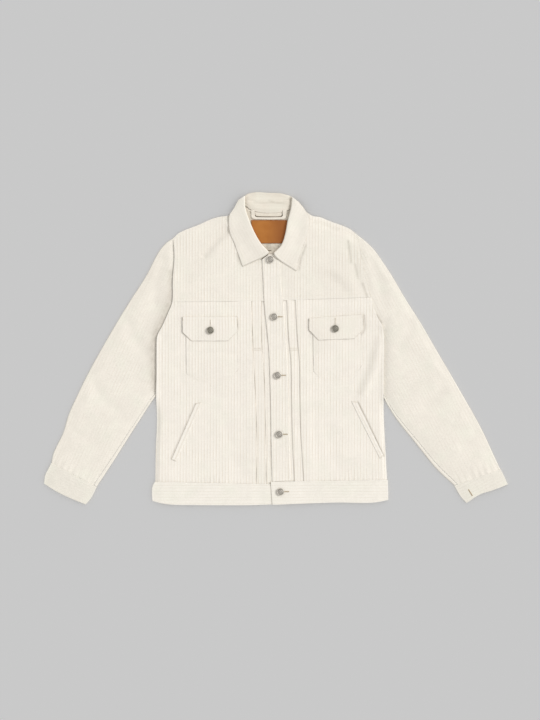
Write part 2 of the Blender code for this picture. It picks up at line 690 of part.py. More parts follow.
def inside_neck():
    """Leather patch and hanging loop on the inside of the back yoke."""
    left, right, low, high = PATCH_BOX
    panel = Panel([(left, high), (right, high)], [(left, low), (right, low)],
                  [(left, high), (left, low)], [(right, high), (right, low)])
    lift = DENIM / 2 + LIE + LEATHER / 2
    lay("leather_patch", panel, lambda x, y: back_mid(x, y) + lift, LEATHER, "leather", (0.25, 0.25))
    lift = DENIM / 2 + LIE + DENIM / 2
    rows = []
    for outer_x, outer_y, inner_x, inner_y in LOOP:
        middle_x = (outer_x + inner_x) / 2
        middle_y = (outer_y + inner_y) / 2
        rows.append([(x, y, back_mid(x, y) + lift) for x, y in
                     ((outer_x, outer_y), (middle_x, middle_y), (inner_x, inner_y))])
    wall("hanging_loop", rows, DENIM, "denim")


def button(name, x, y, base):
    """Metal shank button, turned about its upright axis."""
    points = []
    faces = []
    for radius, up in BUTTON_PROFILE:
        for i in range(BUTTON_SIDES):
            angle = 2 * math.pi * i / BUTTON_SIDES
            points.append((x + radius * math.cos(angle), y + radius * math.sin(angle), base + up))
    for ring in range(len(BUTTON_PROFILE) - 1):
        for i in range(BUTTON_SIDES):
            a = ring * BUTTON_SIDES + i
            b = ring * BUTTON_SIDES + (i + 1) % BUTTON_SIDES
            faces.append((a, b, b + BUTTON_SIDES, a + BUTTON_SIDES))
    faces.append(tuple(range(BUTTON_SIDES)))
    points.append((x, y, base + BUTTON_TOP))
    last = (len(BUTTON_PROFILE) - 1) * BUTTON_SIDES
    for i in range(BUTTON_SIDES):
        faces.append((last + i, last + (i + 1) % BUTTON_SIDES, len(points) - 1))
    made = add_object(name, points, faces, "metal")
    made.data.shade_smooth()


def buttons():
    """Five buttons down the front and one on each flap."""
    strip_top = LAP_MID["left"] + DENIM / 2 + LIE + DENIM
    band_top = 2 * (BAND + SEAM) + BAND
    for number, (x, y) in enumerate(FRONT_BUTTONS, 1):
        top = band_top if y < SIDE["left"][-1][1] else strip_top
        button("front_button_%d" % number, x, y, top + SEAM)
    for side, (x, y) in FLAP_BUTTONS.items():
        flap_top = panel_mid(side)(x, y) + DENIM / 2 + DENIM + 2 * LIE + BAND
        button("flap_button_" + side, x, y, flap_top + SEAM)


def main():
    """Build every piece."""
    for old in list(bpy.data.objects):
        bpy.data.objects.remove(old)
    back()
    for side in ("right", "left"):
        front_panel(side)
        front_yoke(side)
        sleeve(side)
        cuffs(side)
        welt(side)
        on_front("chest_pocket_" + side, POCKET[side], side, 0.0, DENIM, "denim")
        on_front("flap_" + side, FLAP[side], side, DENIM + LIE, BAND, "band")
        collar_leaf(side)
    placket()
    front_waistbands()
    collar_back()
    inside_neck()
    buttons()


main()
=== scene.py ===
"""Looks of a cream striped denim jacket, buttoned and laid flat with its front up.

Every cut piece of cloth is a closed wall made again, finer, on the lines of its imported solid,
with the creases, seam puckers, stitches and weave that the solid leaves out.  Left and right
are the wearer's, so +X is the left side, +Y is the collar and +Z is up.  Tables and sizes are
in millimetres; meshes are in metres.
"""
from __future__ import annotations

import logging
import math
from dataclasses import dataclass, field
from enum import Enum
from typing import Any, Callable, Optional, Sequence

import bpy
import numpy as np
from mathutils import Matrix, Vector
from mathutils.bvhtree import BVHTree

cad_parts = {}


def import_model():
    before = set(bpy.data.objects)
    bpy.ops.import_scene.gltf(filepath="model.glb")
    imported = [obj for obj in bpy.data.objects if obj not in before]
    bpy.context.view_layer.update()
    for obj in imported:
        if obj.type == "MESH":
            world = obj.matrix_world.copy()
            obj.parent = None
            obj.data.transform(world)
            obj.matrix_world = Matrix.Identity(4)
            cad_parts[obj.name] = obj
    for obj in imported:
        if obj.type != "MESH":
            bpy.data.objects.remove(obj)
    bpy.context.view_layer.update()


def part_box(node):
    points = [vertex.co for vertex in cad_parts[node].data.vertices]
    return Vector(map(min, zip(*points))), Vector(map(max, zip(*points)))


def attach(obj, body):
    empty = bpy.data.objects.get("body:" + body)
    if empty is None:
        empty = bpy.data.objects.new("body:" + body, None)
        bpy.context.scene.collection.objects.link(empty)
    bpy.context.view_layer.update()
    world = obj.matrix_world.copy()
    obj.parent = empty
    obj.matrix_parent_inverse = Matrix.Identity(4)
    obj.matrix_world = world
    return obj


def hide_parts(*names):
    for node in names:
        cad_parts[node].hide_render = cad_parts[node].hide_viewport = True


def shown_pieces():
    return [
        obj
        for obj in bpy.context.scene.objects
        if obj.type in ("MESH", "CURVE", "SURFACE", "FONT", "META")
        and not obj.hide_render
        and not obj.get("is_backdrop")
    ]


LOG = logging.getLogger("jacket")
MM = 0.001
BODY = "root"
ACROSS = 90.0  # grain, in degrees, of cloth cut with its stripes along X
UV_NAME = "cloth"
# closeness to a rim, or a button's share of rubbing: cloth is lighter there, partly wear and partly a painted
# highlight
RIM_NAME = "rim"
# share of painted shade at each point, in creases, gaps and beside rims
PAINTED_SHADE_NAME = "fold"

Array = np.ndarray
Pair = tuple[float, float]
Points = Sequence[Pair]
Colour = tuple[float, float, float]
Heights = Callable[[Array, Array], Array]
Socket = bpy.types.NodeSocket


class Side(Enum):
    """Side of the wearer."""

    RIGHT = "right"
    LEFT = "left"


class Rim(Enum):
    """The four rims of a piece of cloth: its first and last row, first and last column."""

    START = 0
    END = 1
    LOW = 2
    HIGH = 3


class Slot(Enum):
    """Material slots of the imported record."""

    DENIM = "denim"
    BAND = "band"
    LEATHER = "leather"
    METAL = "metal"


# ---- plan of the jacket


@dataclass(frozen=True)
class Outline:
    """Plan lines of one side, read from the collar down or from the outside in.

    armhole runs down the yoke and then the panel; yoke_knots of its knots are the yoke's.
    """

    side: Side
    shoulder: Points
    armhole: Points
    yoke_knots: int
    flank: Points
    sleeve_outer: Points
    sleeve_inner: Points
    cuff_hem: Points
    cuff_outer: Points
    cuff_inner: Points
    waist_side: Points
    outer_pleat: Points
    inner_pleat: Points
    leaf: Sequence[tuple[float, float, float, float]]
    neck_corner: Points
    flap: Points
    pocket: Points
    welt: Points
    flap_button: Pair

    @property
    def sign(self) -> float:
        """Direction of this side along X."""
        return -1.0 if self.side is Side.RIGHT else 1.0

    @property
    def hidden(self) -> list[Pair]:
        """The part of the flank that the sleeve lies beside."""
        return [point for point in self.flank if point[1] > Layers.armpit_end - 10.0]


OUTLINES = {
    Side.RIGHT: Outline(
        Side.RIGHT,
        shoulder=[(-77, 339), (-100, 317), (-112, 311.5), (-131, 309), (-150, 304), (-183, 289.5),
                  (-226, 272), (-242, 258.5)],
        armhole=[(-242, 258.5), (-239, 215), (-243, 162), (-244, 108), (-254, 82), (-266, 54), (-279, 28)],
        yoke_knots=4,
        flank=[(-279, 28), (-281, -10), (-281, -60), (-282, -114), (-280, -171), (-283, -240), (-284, -315)],
        sleeve_outer=[(-242, 258.5), (-258.5, 247), (-276, 226), (-306, 169), (-342, 113), (-377, 56),
                      (-410, -1), (-441, -57), (-469, -114), (-488, -156), (-501, -199), (-513, -224),
                      (-525, -250), (-529, -271)],
        sleeve_inner=[(-294.5, -129.5), (-313, -158), (-349, -214), (-384, -269.5), (-422, -327.5)],
        cuff_hem=[(-546.5, -320.5), (-515, -340), (-481.5, -356), (-448, -369.5)],
        cuff_outer=[(-529, -271), (-536, -285), (-543.5, -300), (-546.5, -320.5)],
        cuff_inner=[(-422, -327.5), (-435, -353.5), (-448, -369.5)],
        waist_side=[(-285, -315.4), (-291, -328), (-292, -345), (-291, -361)],
        outer_pleat=[(-58, 104), (-54, 6), (-52, -43), (-48, -123), (-45, -222), (-46, -318)],
        inner_pleat=[(-34, 106), (-33, 6), (-29, -48), (-26, -123), (-24, -218), (-23, -319)],
        leaf=[(-72.5, 358, -88.5, 347.5), (-72.5, 345, -98.5, 328.5), (-71, 327, -110, 309),
              (-62, 300, -108.5, 274), (-49, 270, -98, 247), (-34.5, 246, -87.5, 218),
              (-17, 228, -78, 191)],
        neck_corner=[(9, 211), (9, 208)],
        flap=[(-220, 73), (-90, 73), (-90, 39), (-113, 16), (-198, 16), (-220, 37)],
        pocket=[(-212, 61), (-90, 61), (-89, -52), (-112, -80), (-188, -80), (-211, -60)],
        welt=[(-188, -131), (-174, -128), (-234, -268), (-246, -263)],
        flap_button=(-154, 41),
    ),
    Side.LEFT: Outline(
        Side.LEFT,
        shoulder=[(50, 339), (84, 312), (106, 307.5), (126, 299), (171, 282), (191.5, 267)],
        armhole=[(191.5, 267), (201, 217), (213, 158), (224, 119), (231, 94), (240, 71), (251, 51)],
        yoke_knots=4,
        flank=[(251, 51), (255, 18), (254, -50), (254, -118), (255, -171), (259, -248), (262.5, -311)],
        sleeve_outer=[(191.5, 267), (209, 253), (230, 233), (255, 198), (274, 169), (307, 113), (343, 56),
                      (376, -1), (409, -57), (442, -114), (466, -156), (489, -199), (513, -251),
                      (529.5, -286)],
        sleeve_inner=[(266, -139), (287.5, -172), (333.5, -229.5), (378, -284.5), (420.5, -324.5)],
        cuff_hem=[(547, -322.5), (510, -336.5), (481, -346), (450, -366)],
        cuff_outer=[(529.5, -286), (536, -298), (542, -311), (547, -322.5)],
        cuff_inner=[(420.5, -324.5), (436.5, -351.5), (450, -366)],
        waist_side=[(264, -311.4), (264.5, -328), (265, -345), (265, -359)],
        outer_pleat=[(46, 112), (51, 21), (56, -36), (57, -107), (59, -194), (66, -311)],
        inner_pleat=[(26, 112), (30, 28), (36, -36), (37, -114), (40, -227), (44, -312)],
        leaf=[(38, 355.5, 54, 343), (37, 343, 67, 327.5), (35, 327, 79, 303), (28, 300, 76, 272),
              (22.5, 270, 66.5, 244), (13.5, 243, 55, 212), (-2, 227, 49, 180)],
        neck_corner=[(-18, 221), (-33, 210)],
        flap=[(78, 69), (206, 79), (206, 43), (184, 21), (101, 18), (78, 42)],
        pocket=[(87, 59), (199, 67), (206, -36), (183, -74), (111, -80), (89, -56)],
        welt=[(178, -126), (192, -127), (254, -254), (246, -262)],
        flap_button=(140, 45),
    ),
}
HEM = [(-291, -361), (-273, -366), (-245, -370), (-188, -371), (-132, -371.5), (-47, -371),
       (6, -370), (38, -368.5), (95, -366.5), (152, -365), (208, -366), (237, -364.5), (265, -359)]
BACK_NECK = [(-62, 326), (-40, 320), (-14, 318), (12, 320), (36, 326)]
BACK_WAIST = [(-285, -315.4), (-60, -323.4), (80, -323.4), (264, -311.4)]
BUTTON_EDGE = [(-33.5, 208), (-29.5, 160), (-27.5, 110), (-22, 54), (-16, -8), (-12, -123),
               (-10, -241), (-8, -315)]
PLACKET_STITCH = [(9, 206), (12, 148), (17, 110), (21, 54), (27, -30), (30, -123), (32, -241),
                  (36, -313)]
COLLAR_BACK = [(-66, 330, -67, 362.5, -82, 316), (-57, 325, -58.5, 365, -69, 308),
               (-40, 319.6, -43, 367, -48, 303), (-14, 317.6, -17, 365.5, -17, 301),
               (12, 319.6, 9, 364.5, 15, 303), (26, 323.2, 22, 361.5, 34, 308),
               (35, 327, 32, 358.5, 48, 317)]
LOOP = [(-58, 317, -49, 317), (-58, 309, -49, 311), (-55, 304.5, -46, 308.5), (-49, 303, -42, 308),
        (-17, 302, -17, 307.5), (16, 303, 9, 308), (22, 304.5, 13, 308.5), (25, 309, 16, 311),
        (25, 317, 16, 317)]
YOKE_SEAM_Y = 106.0


@dataclass(frozen=True)
class Layers:
    """Thicknesses, gaps and heights of the layers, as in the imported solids.

    The walls are the pressed cloth itself, which close layers lie apart by.
    """

    denim: float = 1.2
    band: float = 2.2
    leather: float = 1.6
    denim_wall: float = 0.7
    band_wall: float = 1.8
    leaf_wall: float = 1.5
    seam: float = 0.35
    lie: float = 0.45
    close: float = 0.12
    front_rise: float = 4.4
    roll: float = 26.0
    flank_roll: float = 11.0
    armpit_rise: float = 3.6
    armpit_end: float = -112.0
    armpit_fade: float = 40.0
    lap_width: float = 42.0

    @property
    def back(self) -> float:
        """Middle of the back cloth over the surface."""
        return self.denim / 2

    @property
    def ply_step(self) -> float:
        """Middle of one layer of denim to the middle of the next."""
        return self.denim_wall + self.close

    @property
    def landing(self) -> float:
        """Front over back at a side or a shoulder."""
        return self.denim + 2 * self.seam

    @property
    def neck_lift(self) -> float:
        """Lift of the back yoke over the collar leaf behind the neck."""
        return self.band + self.seam


LAYERS = Layers()


# ---- plan geometry


def ease(amount: Array) -> Array:
    """Smooth step from 0 to 1."""
    amount = np.clip(amount, 0.0, 1.0)
    return amount * amount * (3.0 - 2.0 * amount)


def mix(low: Array, high: Array, amount: Array) -> Array:
    """Value part of the way from low to high."""
    return low + (high - low) * amount


def bell(away: Array, width: float) -> Array:
    """Share that falls off smoothly from 1 with a distance."""
    return np.exp(-((away / width) ** 2))


def half_turn(s: float, z: float, out: float, up: float, count: int) -> list[Pair]:
    """Lengths and heights inside a half circle from s and z, which bulges by out and rises by twice up."""
    angles = (math.pi * i / count for i in range(1, count))
    return [(s + out * math.sin(a), z + up * (1 - math.cos(a))) for a in angles]


class Line:
    """A line in plan, rounded through its knots, read by fraction of its length."""

    def __init__(self, knots: Sequence, rounded: bool = True, per: int = 10) -> None:
        """Make the line.

        Args:
            knots: places in plan that it passes.
            rounded: whether it bends smoothly at its inner knots or is straight between them.
            per: steps between two knots of a rounded line.
        """
        points = np.array([knot[:2] for knot in knots], float)
        self.knot_count = len(points)
        self.per = per if rounded and len(points) > 2 else 1
        if self.per > 1:
            points = self._round(points)
        self.points = points
        steps = np.hypot(*np.diff(points, axis=0).T)
        self.marks = np.concatenate([[0.0], np.cumsum(steps)])
        self.length = float(self.marks[-1])

    def _round(self, knots: Array) -> Array:
        """Points of the smooth line through the knots.

        Args:
            knots: places that the line passes.

        Returns:
            Its points.
        """
        t = np.concatenate([[0.0], np.cumsum(np.hypot(*np.diff(knots, axis=0).T))])
        slope = np.empty_like(knots)
        slope[1:-1] = (knots[2:] - knots[:-2]) / (t[2:] - t[:-2])[:, None]
        slope[0] = (knots[1] - knots[0]) / (t[1] - t[0])
        slope[-1] = (knots[-1] - knots[-2]) / (t[-1] - t[-2])
        part = np.arange(self.per) / self.per
        made = []
        for i in range(len(knots) - 1):
            span = t[i + 1] - t[i]
            p = part[:, None]
            made.append((2 * p**3 - 3 * p**2 + 1) * knots[i] + (p**3 - 2 * p**2 + p) * span * slope[i]
                        + (3 * p**2 - 2 * p**3) * knots[i + 1] + (p**3 - p**2) * span * slope[i + 1])
        made.append(knots[-1:])
        return np.concatenate(made)

    def at(self, fractions: Array) -> Array:
        """Places at fractions of the length."""
        return self.place(np.asarray(fractions, float) * self.length)

    def place(self, lengths: Array) -> Array:
        """Places at lengths along the line."""
        return np.stack([np.interp(lengths, self.marks, self.points[:, k]) for k in (0, 1)], -1)

    def between(self, first: int, last: int) -> "Line":
        """The stretch from one knot to another, as a line of its own."""
        return Line(self.points[first * self.per:last * self.per + 1], rounded=False)

    def moved(self, dx: float, dy: float = 0.0) -> "Line":
        """The same line shifted in plan."""
        return Line(self.points + np.array([dx, dy]), rounded=False)

    def plus(self, other: "Line") -> "Line":
        """This line and the next one joined end to end."""
        skip = 1 if np.allclose(self.points[-1], other.points[0]) else 0
        return Line(np.concatenate([self.points, other.points[skip:]]), rounded=False)

    def near(self, x: Array, y: Array) -> tuple[Array, Array]:
        """Distance from places to the line, and the length along it of the nearest point.

        Args:
            x: first coordinates.
            y: second coordinates.

        Returns:
            The distances and the lengths, shaped as x.
        """
        best = np.full(np.shape(x), np.inf)
        along = np.zeros(np.shape(x))
        for i in range(len(self.points) - 1):
            a, step = self.points[i], self.points[i + 1] - self.points[i]
            span = float(step @ step)
            part = np.clip(((x - a[0]) * step[0] + (y - a[1]) * step[1]) / max(span, 1e-9), 0.0, 1.0)
            away = np.hypot(x - a[0] - part * step[0], y - a[1] - part * step[1])
            closer = away < best
            best = np.where(closer, away, best)
            along = np.where(closer, self.marks[i] + part * math.sqrt(span), along)
        return best, along

    def x_at(self, y: Array) -> Array:
        """x at which a line that runs down the garment passes a height."""
        order = np.argsort(self.points[:, 1])
        return np.interp(y, self.points[order, 1], self.points[order, 0])


class Patch:
    """Plan of a cut piece between four lines.

    start and end run across it, low and high run along it from start to end.
    """

    def __init__(self, start: Line, end: Line, low: Line, high: Line) -> None:
        """Keep the four lines."""
        self.start, self.end, self.low, self.high = start, end, low, high

    @classmethod
    def corners(cls, first: Pair, second: Pair, third: Pair, fourth: Pair) -> "Patch":
        """Straight-sided patch by its corners, round from the start of its low side."""
        return cls(Line([first, second]), Line([fourth, third]), Line([first, fourth]), Line([second, third]))

    def at(self, us: Array, vs: Array) -> Array:
        """Places at fractions along and across.

        Args:
            us: fractions along.
            vs: fractions across.

        Returns:
            Places shaped (along, across, 2).
        """
        u = np.asarray(us)[:, None, None]
        v = np.asarray(vs)[None, :, None]
        low, high = self.low.at(us)[:, None, :], self.high.at(us)[:, None, :]
        start, end = self.start.at(vs)[None, :, :], self.end.at(vs)[None, :, :]
        corners = mix(mix(start[:, :1], start[:, -1:], v), mix(end[:, :1], end[:, -1:], v), u)
        return mix(low, high, v) + mix(start, end, u) - corners

    def grid(self, along: float, across: float, trim: Pair = (0.0, 0.0)) -> tuple:
        """x and y of a grid of places at two pitches, cut back at its start and end."""
        plan = self.at(steps(self.length, along, trim), steps(self.width, across))
        return plan[..., 0], plan[..., 1]

    @property
    def length(self) -> float:
        """Mean length along."""
        return (self.low.length + self.high.length) / 2

    @property
    def width(self) -> float:
        """Mean length across."""
        return (self.start.length + self.end.length) / 2


def rail(stations: Sequence, first: int, per: int) -> Line:
    """Line through one pair of coordinates of each station."""
    return Line([station[first:first + 2] for station in stations], per=per)


def steps(length: float, pitch: float, trim: Pair = (0.0, 0.0), lip: float = 0.7) -> Array:
    """Fractions of a length at an even pitch, with a narrow step at each end.

    Args:
        length: length of the run.
        pitch: most that one step may be.
        trim: lengths cut back at the two ends.
        lip: width of the narrow steps that let the rims turn over sharply.

    Returns:
        Rising fractions.
    """
    first, last = trim[0], length - trim[1]
    count = max(2, math.ceil((last - first - 2 * lip) / pitch))
    inner = np.linspace(first + lip, last - lip, count + 1)
    return np.concatenate([[first], inner, [last]]) / length


# ---- how the cloth lies


@dataclass(frozen=True)
class Crease:
    """A soft trough in the cloth through places in plan; a ridge where its depth is negative; in the table of painted
    shade its depth is the share of darkening instead.
    """

    places: Points
    half_width: float
    depth: float

    def depth_at(self, x: Array, y: Array) -> Array:
        """Depth of the trough at places, fading at its two ends.

        Args:
            x: first coordinates.
            y: second coordinates.

        Returns:
            Depths.
        """
        line = Line(self.places)
        away, along = line.near(x, y)
        fade = ease(along / self.half_width + 0.4) * ease((line.length - along) / self.half_width + 0.4)
        return self.depth * fade * bell(away, self.half_width)


@dataclass(frozen=True)
class Pucker:
    """Ripples that sewing draws up beside a seam, with the ridge of the turned cloth.

    ripple, pitch and reach are the height, length and width of the ripples.
    """

    line: Line
    ripple: float
    pitch: float
    reach: float
    phase: float
    ridge: float = 0.0
    ridge_width: float = 6.0

    def height_at(self, x: Array, y: Array) -> Array:
        """Height that the ripples and the ridge add at places.

        Args:
            x: first coordinates.
            y: second coordinates.

        Returns:
            Heights.
        """
        away, along = self.line.near(x, y)
        turn = 2 * math.pi * along / self.pitch
        wander = 1.3 * np.sin(along / 23.0 + self.phase) + 0.8 * np.sin(along / 11.0 + 2 * self.phase)
        wave = np.sin(turn + wander + self.phase) * (0.65 + 0.35 * np.sin(along / 37.0 + self.phase))
        ridge = self.ridge * (1.0 - ease((away - self.ridge_width) / 1.6))
        return self.ripple * wave * bell(away, self.reach) + ridge


@dataclass
class Drape:
    """Height rules of the laid jacket, to the middle of the cloth."""

    creases: Sequence[Crease]
    sleeve_creases: Sequence[Crease]
    neck_middle: float = -18.0
    neck_half: float = 84.0
    neck_low: float = 296.0
    neck_fade: float = 60.0
    swell: float = 0.30
    lap_mid: dict = field(default_factory=lambda: {Side.RIGHT: 3.36, Side.LEFT: 4.33})
    yoke_lap: dict = field(default_factory=lambda: {Side.RIGHT: (-104.0, 66.0), Side.LEFT: (6.0, 40.0)})
    patch_clear: tuple = (243.0, 14.0)
    pocket_swell: float = 1.2
    pocket_reach: float = 75.0
    puckers: list = field(default_factory=list)

    def undulation(self, x: Array, y: Array) -> Array:
        """Gentle uneven waves of cloth that has been smoothed out by hand.

        Args:
            x: first coordinates.
            y: second coordinates.

        Returns:
            Heights.
        """
        waves = (
            np.sin(x / 21.0 + 1.7 * np.sin(y / 47.0)) * np.sin(y / 33.0 + 0.6 + 1.1 * np.sin(x / 61.0)),
            0.7 * np.sin((x + 0.6 * y) / 17.0 + 1.3 * np.sin(y / 29.0)),
            0.5 * np.sin((0.5 * x - y) / 12.5 + 2.1 * np.sin(x / 39.0)),
        )
        return self.swell * sum(waves) / 1.6

    def back(self, x: Array, y: Array) -> Array:
        """Middle of the back cloth, lifted at the neck by the collar under it.

        Args:
            x: first coordinates.
            y: second coordinates.

        Returns:
            Heights.
        """
        side = np.maximum(np.abs(x - self.neck_middle) - self.neck_half, 0.0)
        away = np.hypot(side, np.maximum(self.neck_low - y, 0.0))
        return LAYERS.back + LAYERS.neck_lift * ease(1.0 - away / self.neck_fade)

    def front(self, x: Array, y: Array) -> Array:
        """Middle of the front cloth away from its edges.

        Args:
            x: first coordinates.
            y: second coordinates.

        Returns:
            Heights.
        """
        trough = sum(crease.depth_at(x, y) for crease in self.creases)
        pockets = sum(np.exp(-(((x - cx) ** 2 + (y - cy) ** 2) / self.pocket_reach**2))
                      for cx, cy in (outline.flap_button for outline in OUTLINES.values()))
        return self.back(x, y) + LAYERS.front_rise + self.pocket_swell * pockets - trough + self.undulation(x, y)

    def sewn(self, x: Array, y: Array) -> Array:
        """Height that the seams of the body add at places."""
        return sum(pucker.height_at(x, y) for pucker in self.puckers)

    def yoke(self, outline: Outline) -> Heights:
        """Height rule of a front yoke, down at the shoulder and at the buttons.

        Args:
            outline: plan lines of its side.

        Returns:
            The rule.
        """
        shoulder = Line(outline.shoulder)
        low_x, fade_x = self.yoke_lap[outline.side]
        top_y, fade_y = self.patch_clear
        lap = self.lap_mid[outline.side]

        def height(x: Array, y: Array) -> Array:
            """Height of the yoke's middle at places.

            Args:
                x: first coordinates.
                y: second coordinates.

            Returns:
                Heights.
            """
            away, _ = shoulder.near(x, y)
            z = mix(self.back(x, y) + LAYERS.landing, self.front(x, y), ease(away / LAYERS.roll))
            if outline.side is Side.RIGHT:
                return mix(z, lap, ease((x - low_x) / fade_x) * ease((top_y - y) / fade_y))
            return mix(lap, z, ease((x - low_x) / fade_x))
        return height

    def panel(self, outline: Outline) -> Heights:
        """Height rule of a front panel outside its pleats, down at the side.

        Args:
            outline: plan lines of its side.

        Returns:
            The rule.
        """
        flank = Line(outline.flank)

        def height(x: Array, y: Array) -> Array:
            """Height of the panel's middle at places.

            Args:
                x: first coordinates.
                y: second coordinates.

            Returns:
                Heights.
            """
            away, _ = flank.near(x, y)
            rise = LAYERS.armpit_rise * ease(1.0 - (LAYERS.armpit_end - y) / LAYERS.armpit_fade)
            return mix(self.back(x, y) + LAYERS.landing + rise, self.front(x, y), ease(away / LAYERS.flank_roll))
        return height


# ---- finishes


class Tree:
    """Short hand for building a node tree."""

    def __init__(self, tree: bpy.types.NodeTree) -> None:
        """Start from an empty tree."""
        self.tree = tree
        tree.nodes.clear()

    @classmethod
    def of_material(cls, name: str) -> tuple[bpy.types.Material, "Tree"]:
        """A new node material and its tree.

        Args:
            name: name of the material.

        Returns:
            The material and its tree.
        """
        made = bpy.data.materials.new(name)
        made.use_nodes = True
        return made, cls(made.node_tree)

    def add(self, kind: str, inputs: Optional[dict] = None, **settings: object) -> bpy.types.Node:
        """Add a node.

        Args:
            kind: Blender's name of the node type.
            inputs: values or sockets for its inputs, by name or number.
            settings: attributes of the node itself.

        Returns:
            The node.
        """
        node = self.tree.nodes.new(kind)
        for name, value in settings.items():
            setattr(node, name, value)
        for key, value in (inputs or {}).items():
            if isinstance(value, bpy.types.NodeSocket):
                self.tree.links.new(value, node.inputs[key])
            else:
                node.inputs[key].default_value = value
        return node

    def out(self, kind: str, inputs: Optional[dict] = None, **settings: object) -> Socket:
        """First output of a new node."""
        return self.add(kind, inputs, **settings).outputs[0]

    def math(self, operation: str, *values: object) -> Socket:
        """Result of a math node on values or sockets."""
        return self.out("ShaderNodeMath", dict(enumerate(values)), operation=operation)

    def times(self, value: object, gain: object, shift: object = 0.0) -> Socket:
        """A value times a gain, plus a shift."""
        return self.math("MULTIPLY_ADD", value, gain, shift)

    def share(self, value: object) -> Socket:
        """A value kept between 0 and 1."""
        return self.math("MAXIMUM", self.math("MINIMUM", value, 1.0), 0.0)

    def place(self) -> Socket:
        """Place in the object, in metres."""
        return self.add("ShaderNodeTexCoord").outputs["Object"]

    def attribute(self, name: str) -> Socket:
        """Value of an attribute of the mesh."""
        return self.add("ShaderNodeAttribute", attribute_name=name).outputs["Fac"]

    def blend(self, factor: object, low: object, high: object, mode: str = "MIX") -> Socket:
        """Colour mixed of two colours.

        Args:
            factor: share of the second colour.
            low: first colour.
            high: second colour.
            mode: Blender's name of the blend.

        Returns:
            The mixed colour.
        """
        low, high = (rgba(end) if isinstance(end, tuple) else end for end in (low, high))
        node = self.add("ShaderNodeMix", {0: factor, 6: low, 7: high}, data_type="RGBA", blend_type=mode)
        return node.outputs[2]

    def noise(self, vector: object, scale: float, detail: float = 2.0) -> Socket:
        """Noise value from 0 to 1 at a place."""
        return self.out("ShaderNodeTexNoise", {"Vector": vector, "Scale": scale, "Detail": detail})

    def ramp(self, factor: object, stops: Sequence[tuple[float, Colour]]) -> Socket:
        """Colour from a ramp of stops.

        Args:
            factor: place on the ramp.
            stops: places and colours of its stops.

        Returns:
            The colour.
        """
        node = self.add("ShaderNodeValToRGB", {0: factor})
        band = node.color_ramp.elements
        while len(band) < len(stops):
            band.new(0.5)
        for element, (place, colour) in zip(band, stops):
            element.position = place
            element.color = rgba(colour)
        return node.outputs[0]

    def shade(self, colour: object, roughness: float, relief: Optional[tuple] = None, **more: float) -> None:
        """End a material's tree with its shader.

        Args:
            colour: base colour.
            roughness: roughness.
            relief: strength, distance in millimetres and height of its bump.
            more: other inputs of the shader, _ for each space in their names.
        """
        inputs = {"Base Color": colour, "Roughness": roughness}
        inputs.update({name.replace("_", " "): value for name, value in more.items()})
        if relief:
            strength, distance, height = relief
            inputs["Normal"] = self.out("ShaderNodeBump", {
                "Strength": strength, "Distance": distance * MM, "Height": height})
        self.add("ShaderNodeOutputMaterial", {0: self.out("ShaderNodeBsdfPrincipled", inputs)})


def linear(red: float, green: float, blue: float) -> Colour:
    """Linear colour of a screen colour given from 0 to 255.

    Args:
        red: red, from 0 to 255.
        green: green.
        blue: blue.

    Returns:
        The colour in linear light.
    """
    def one(value: float) -> float:
        """Linear share of one channel."""
        share = value / 255.0
        return share / 12.92 if share <= 0.04045 else ((share + 0.055) / 1.055) ** 2.4
    return one(red), one(green), one(blue)


def rgba(colour: Colour) -> tuple[float, float, float, float]:
    """Colour with full cover."""
    return (*colour[:3], 1.0)


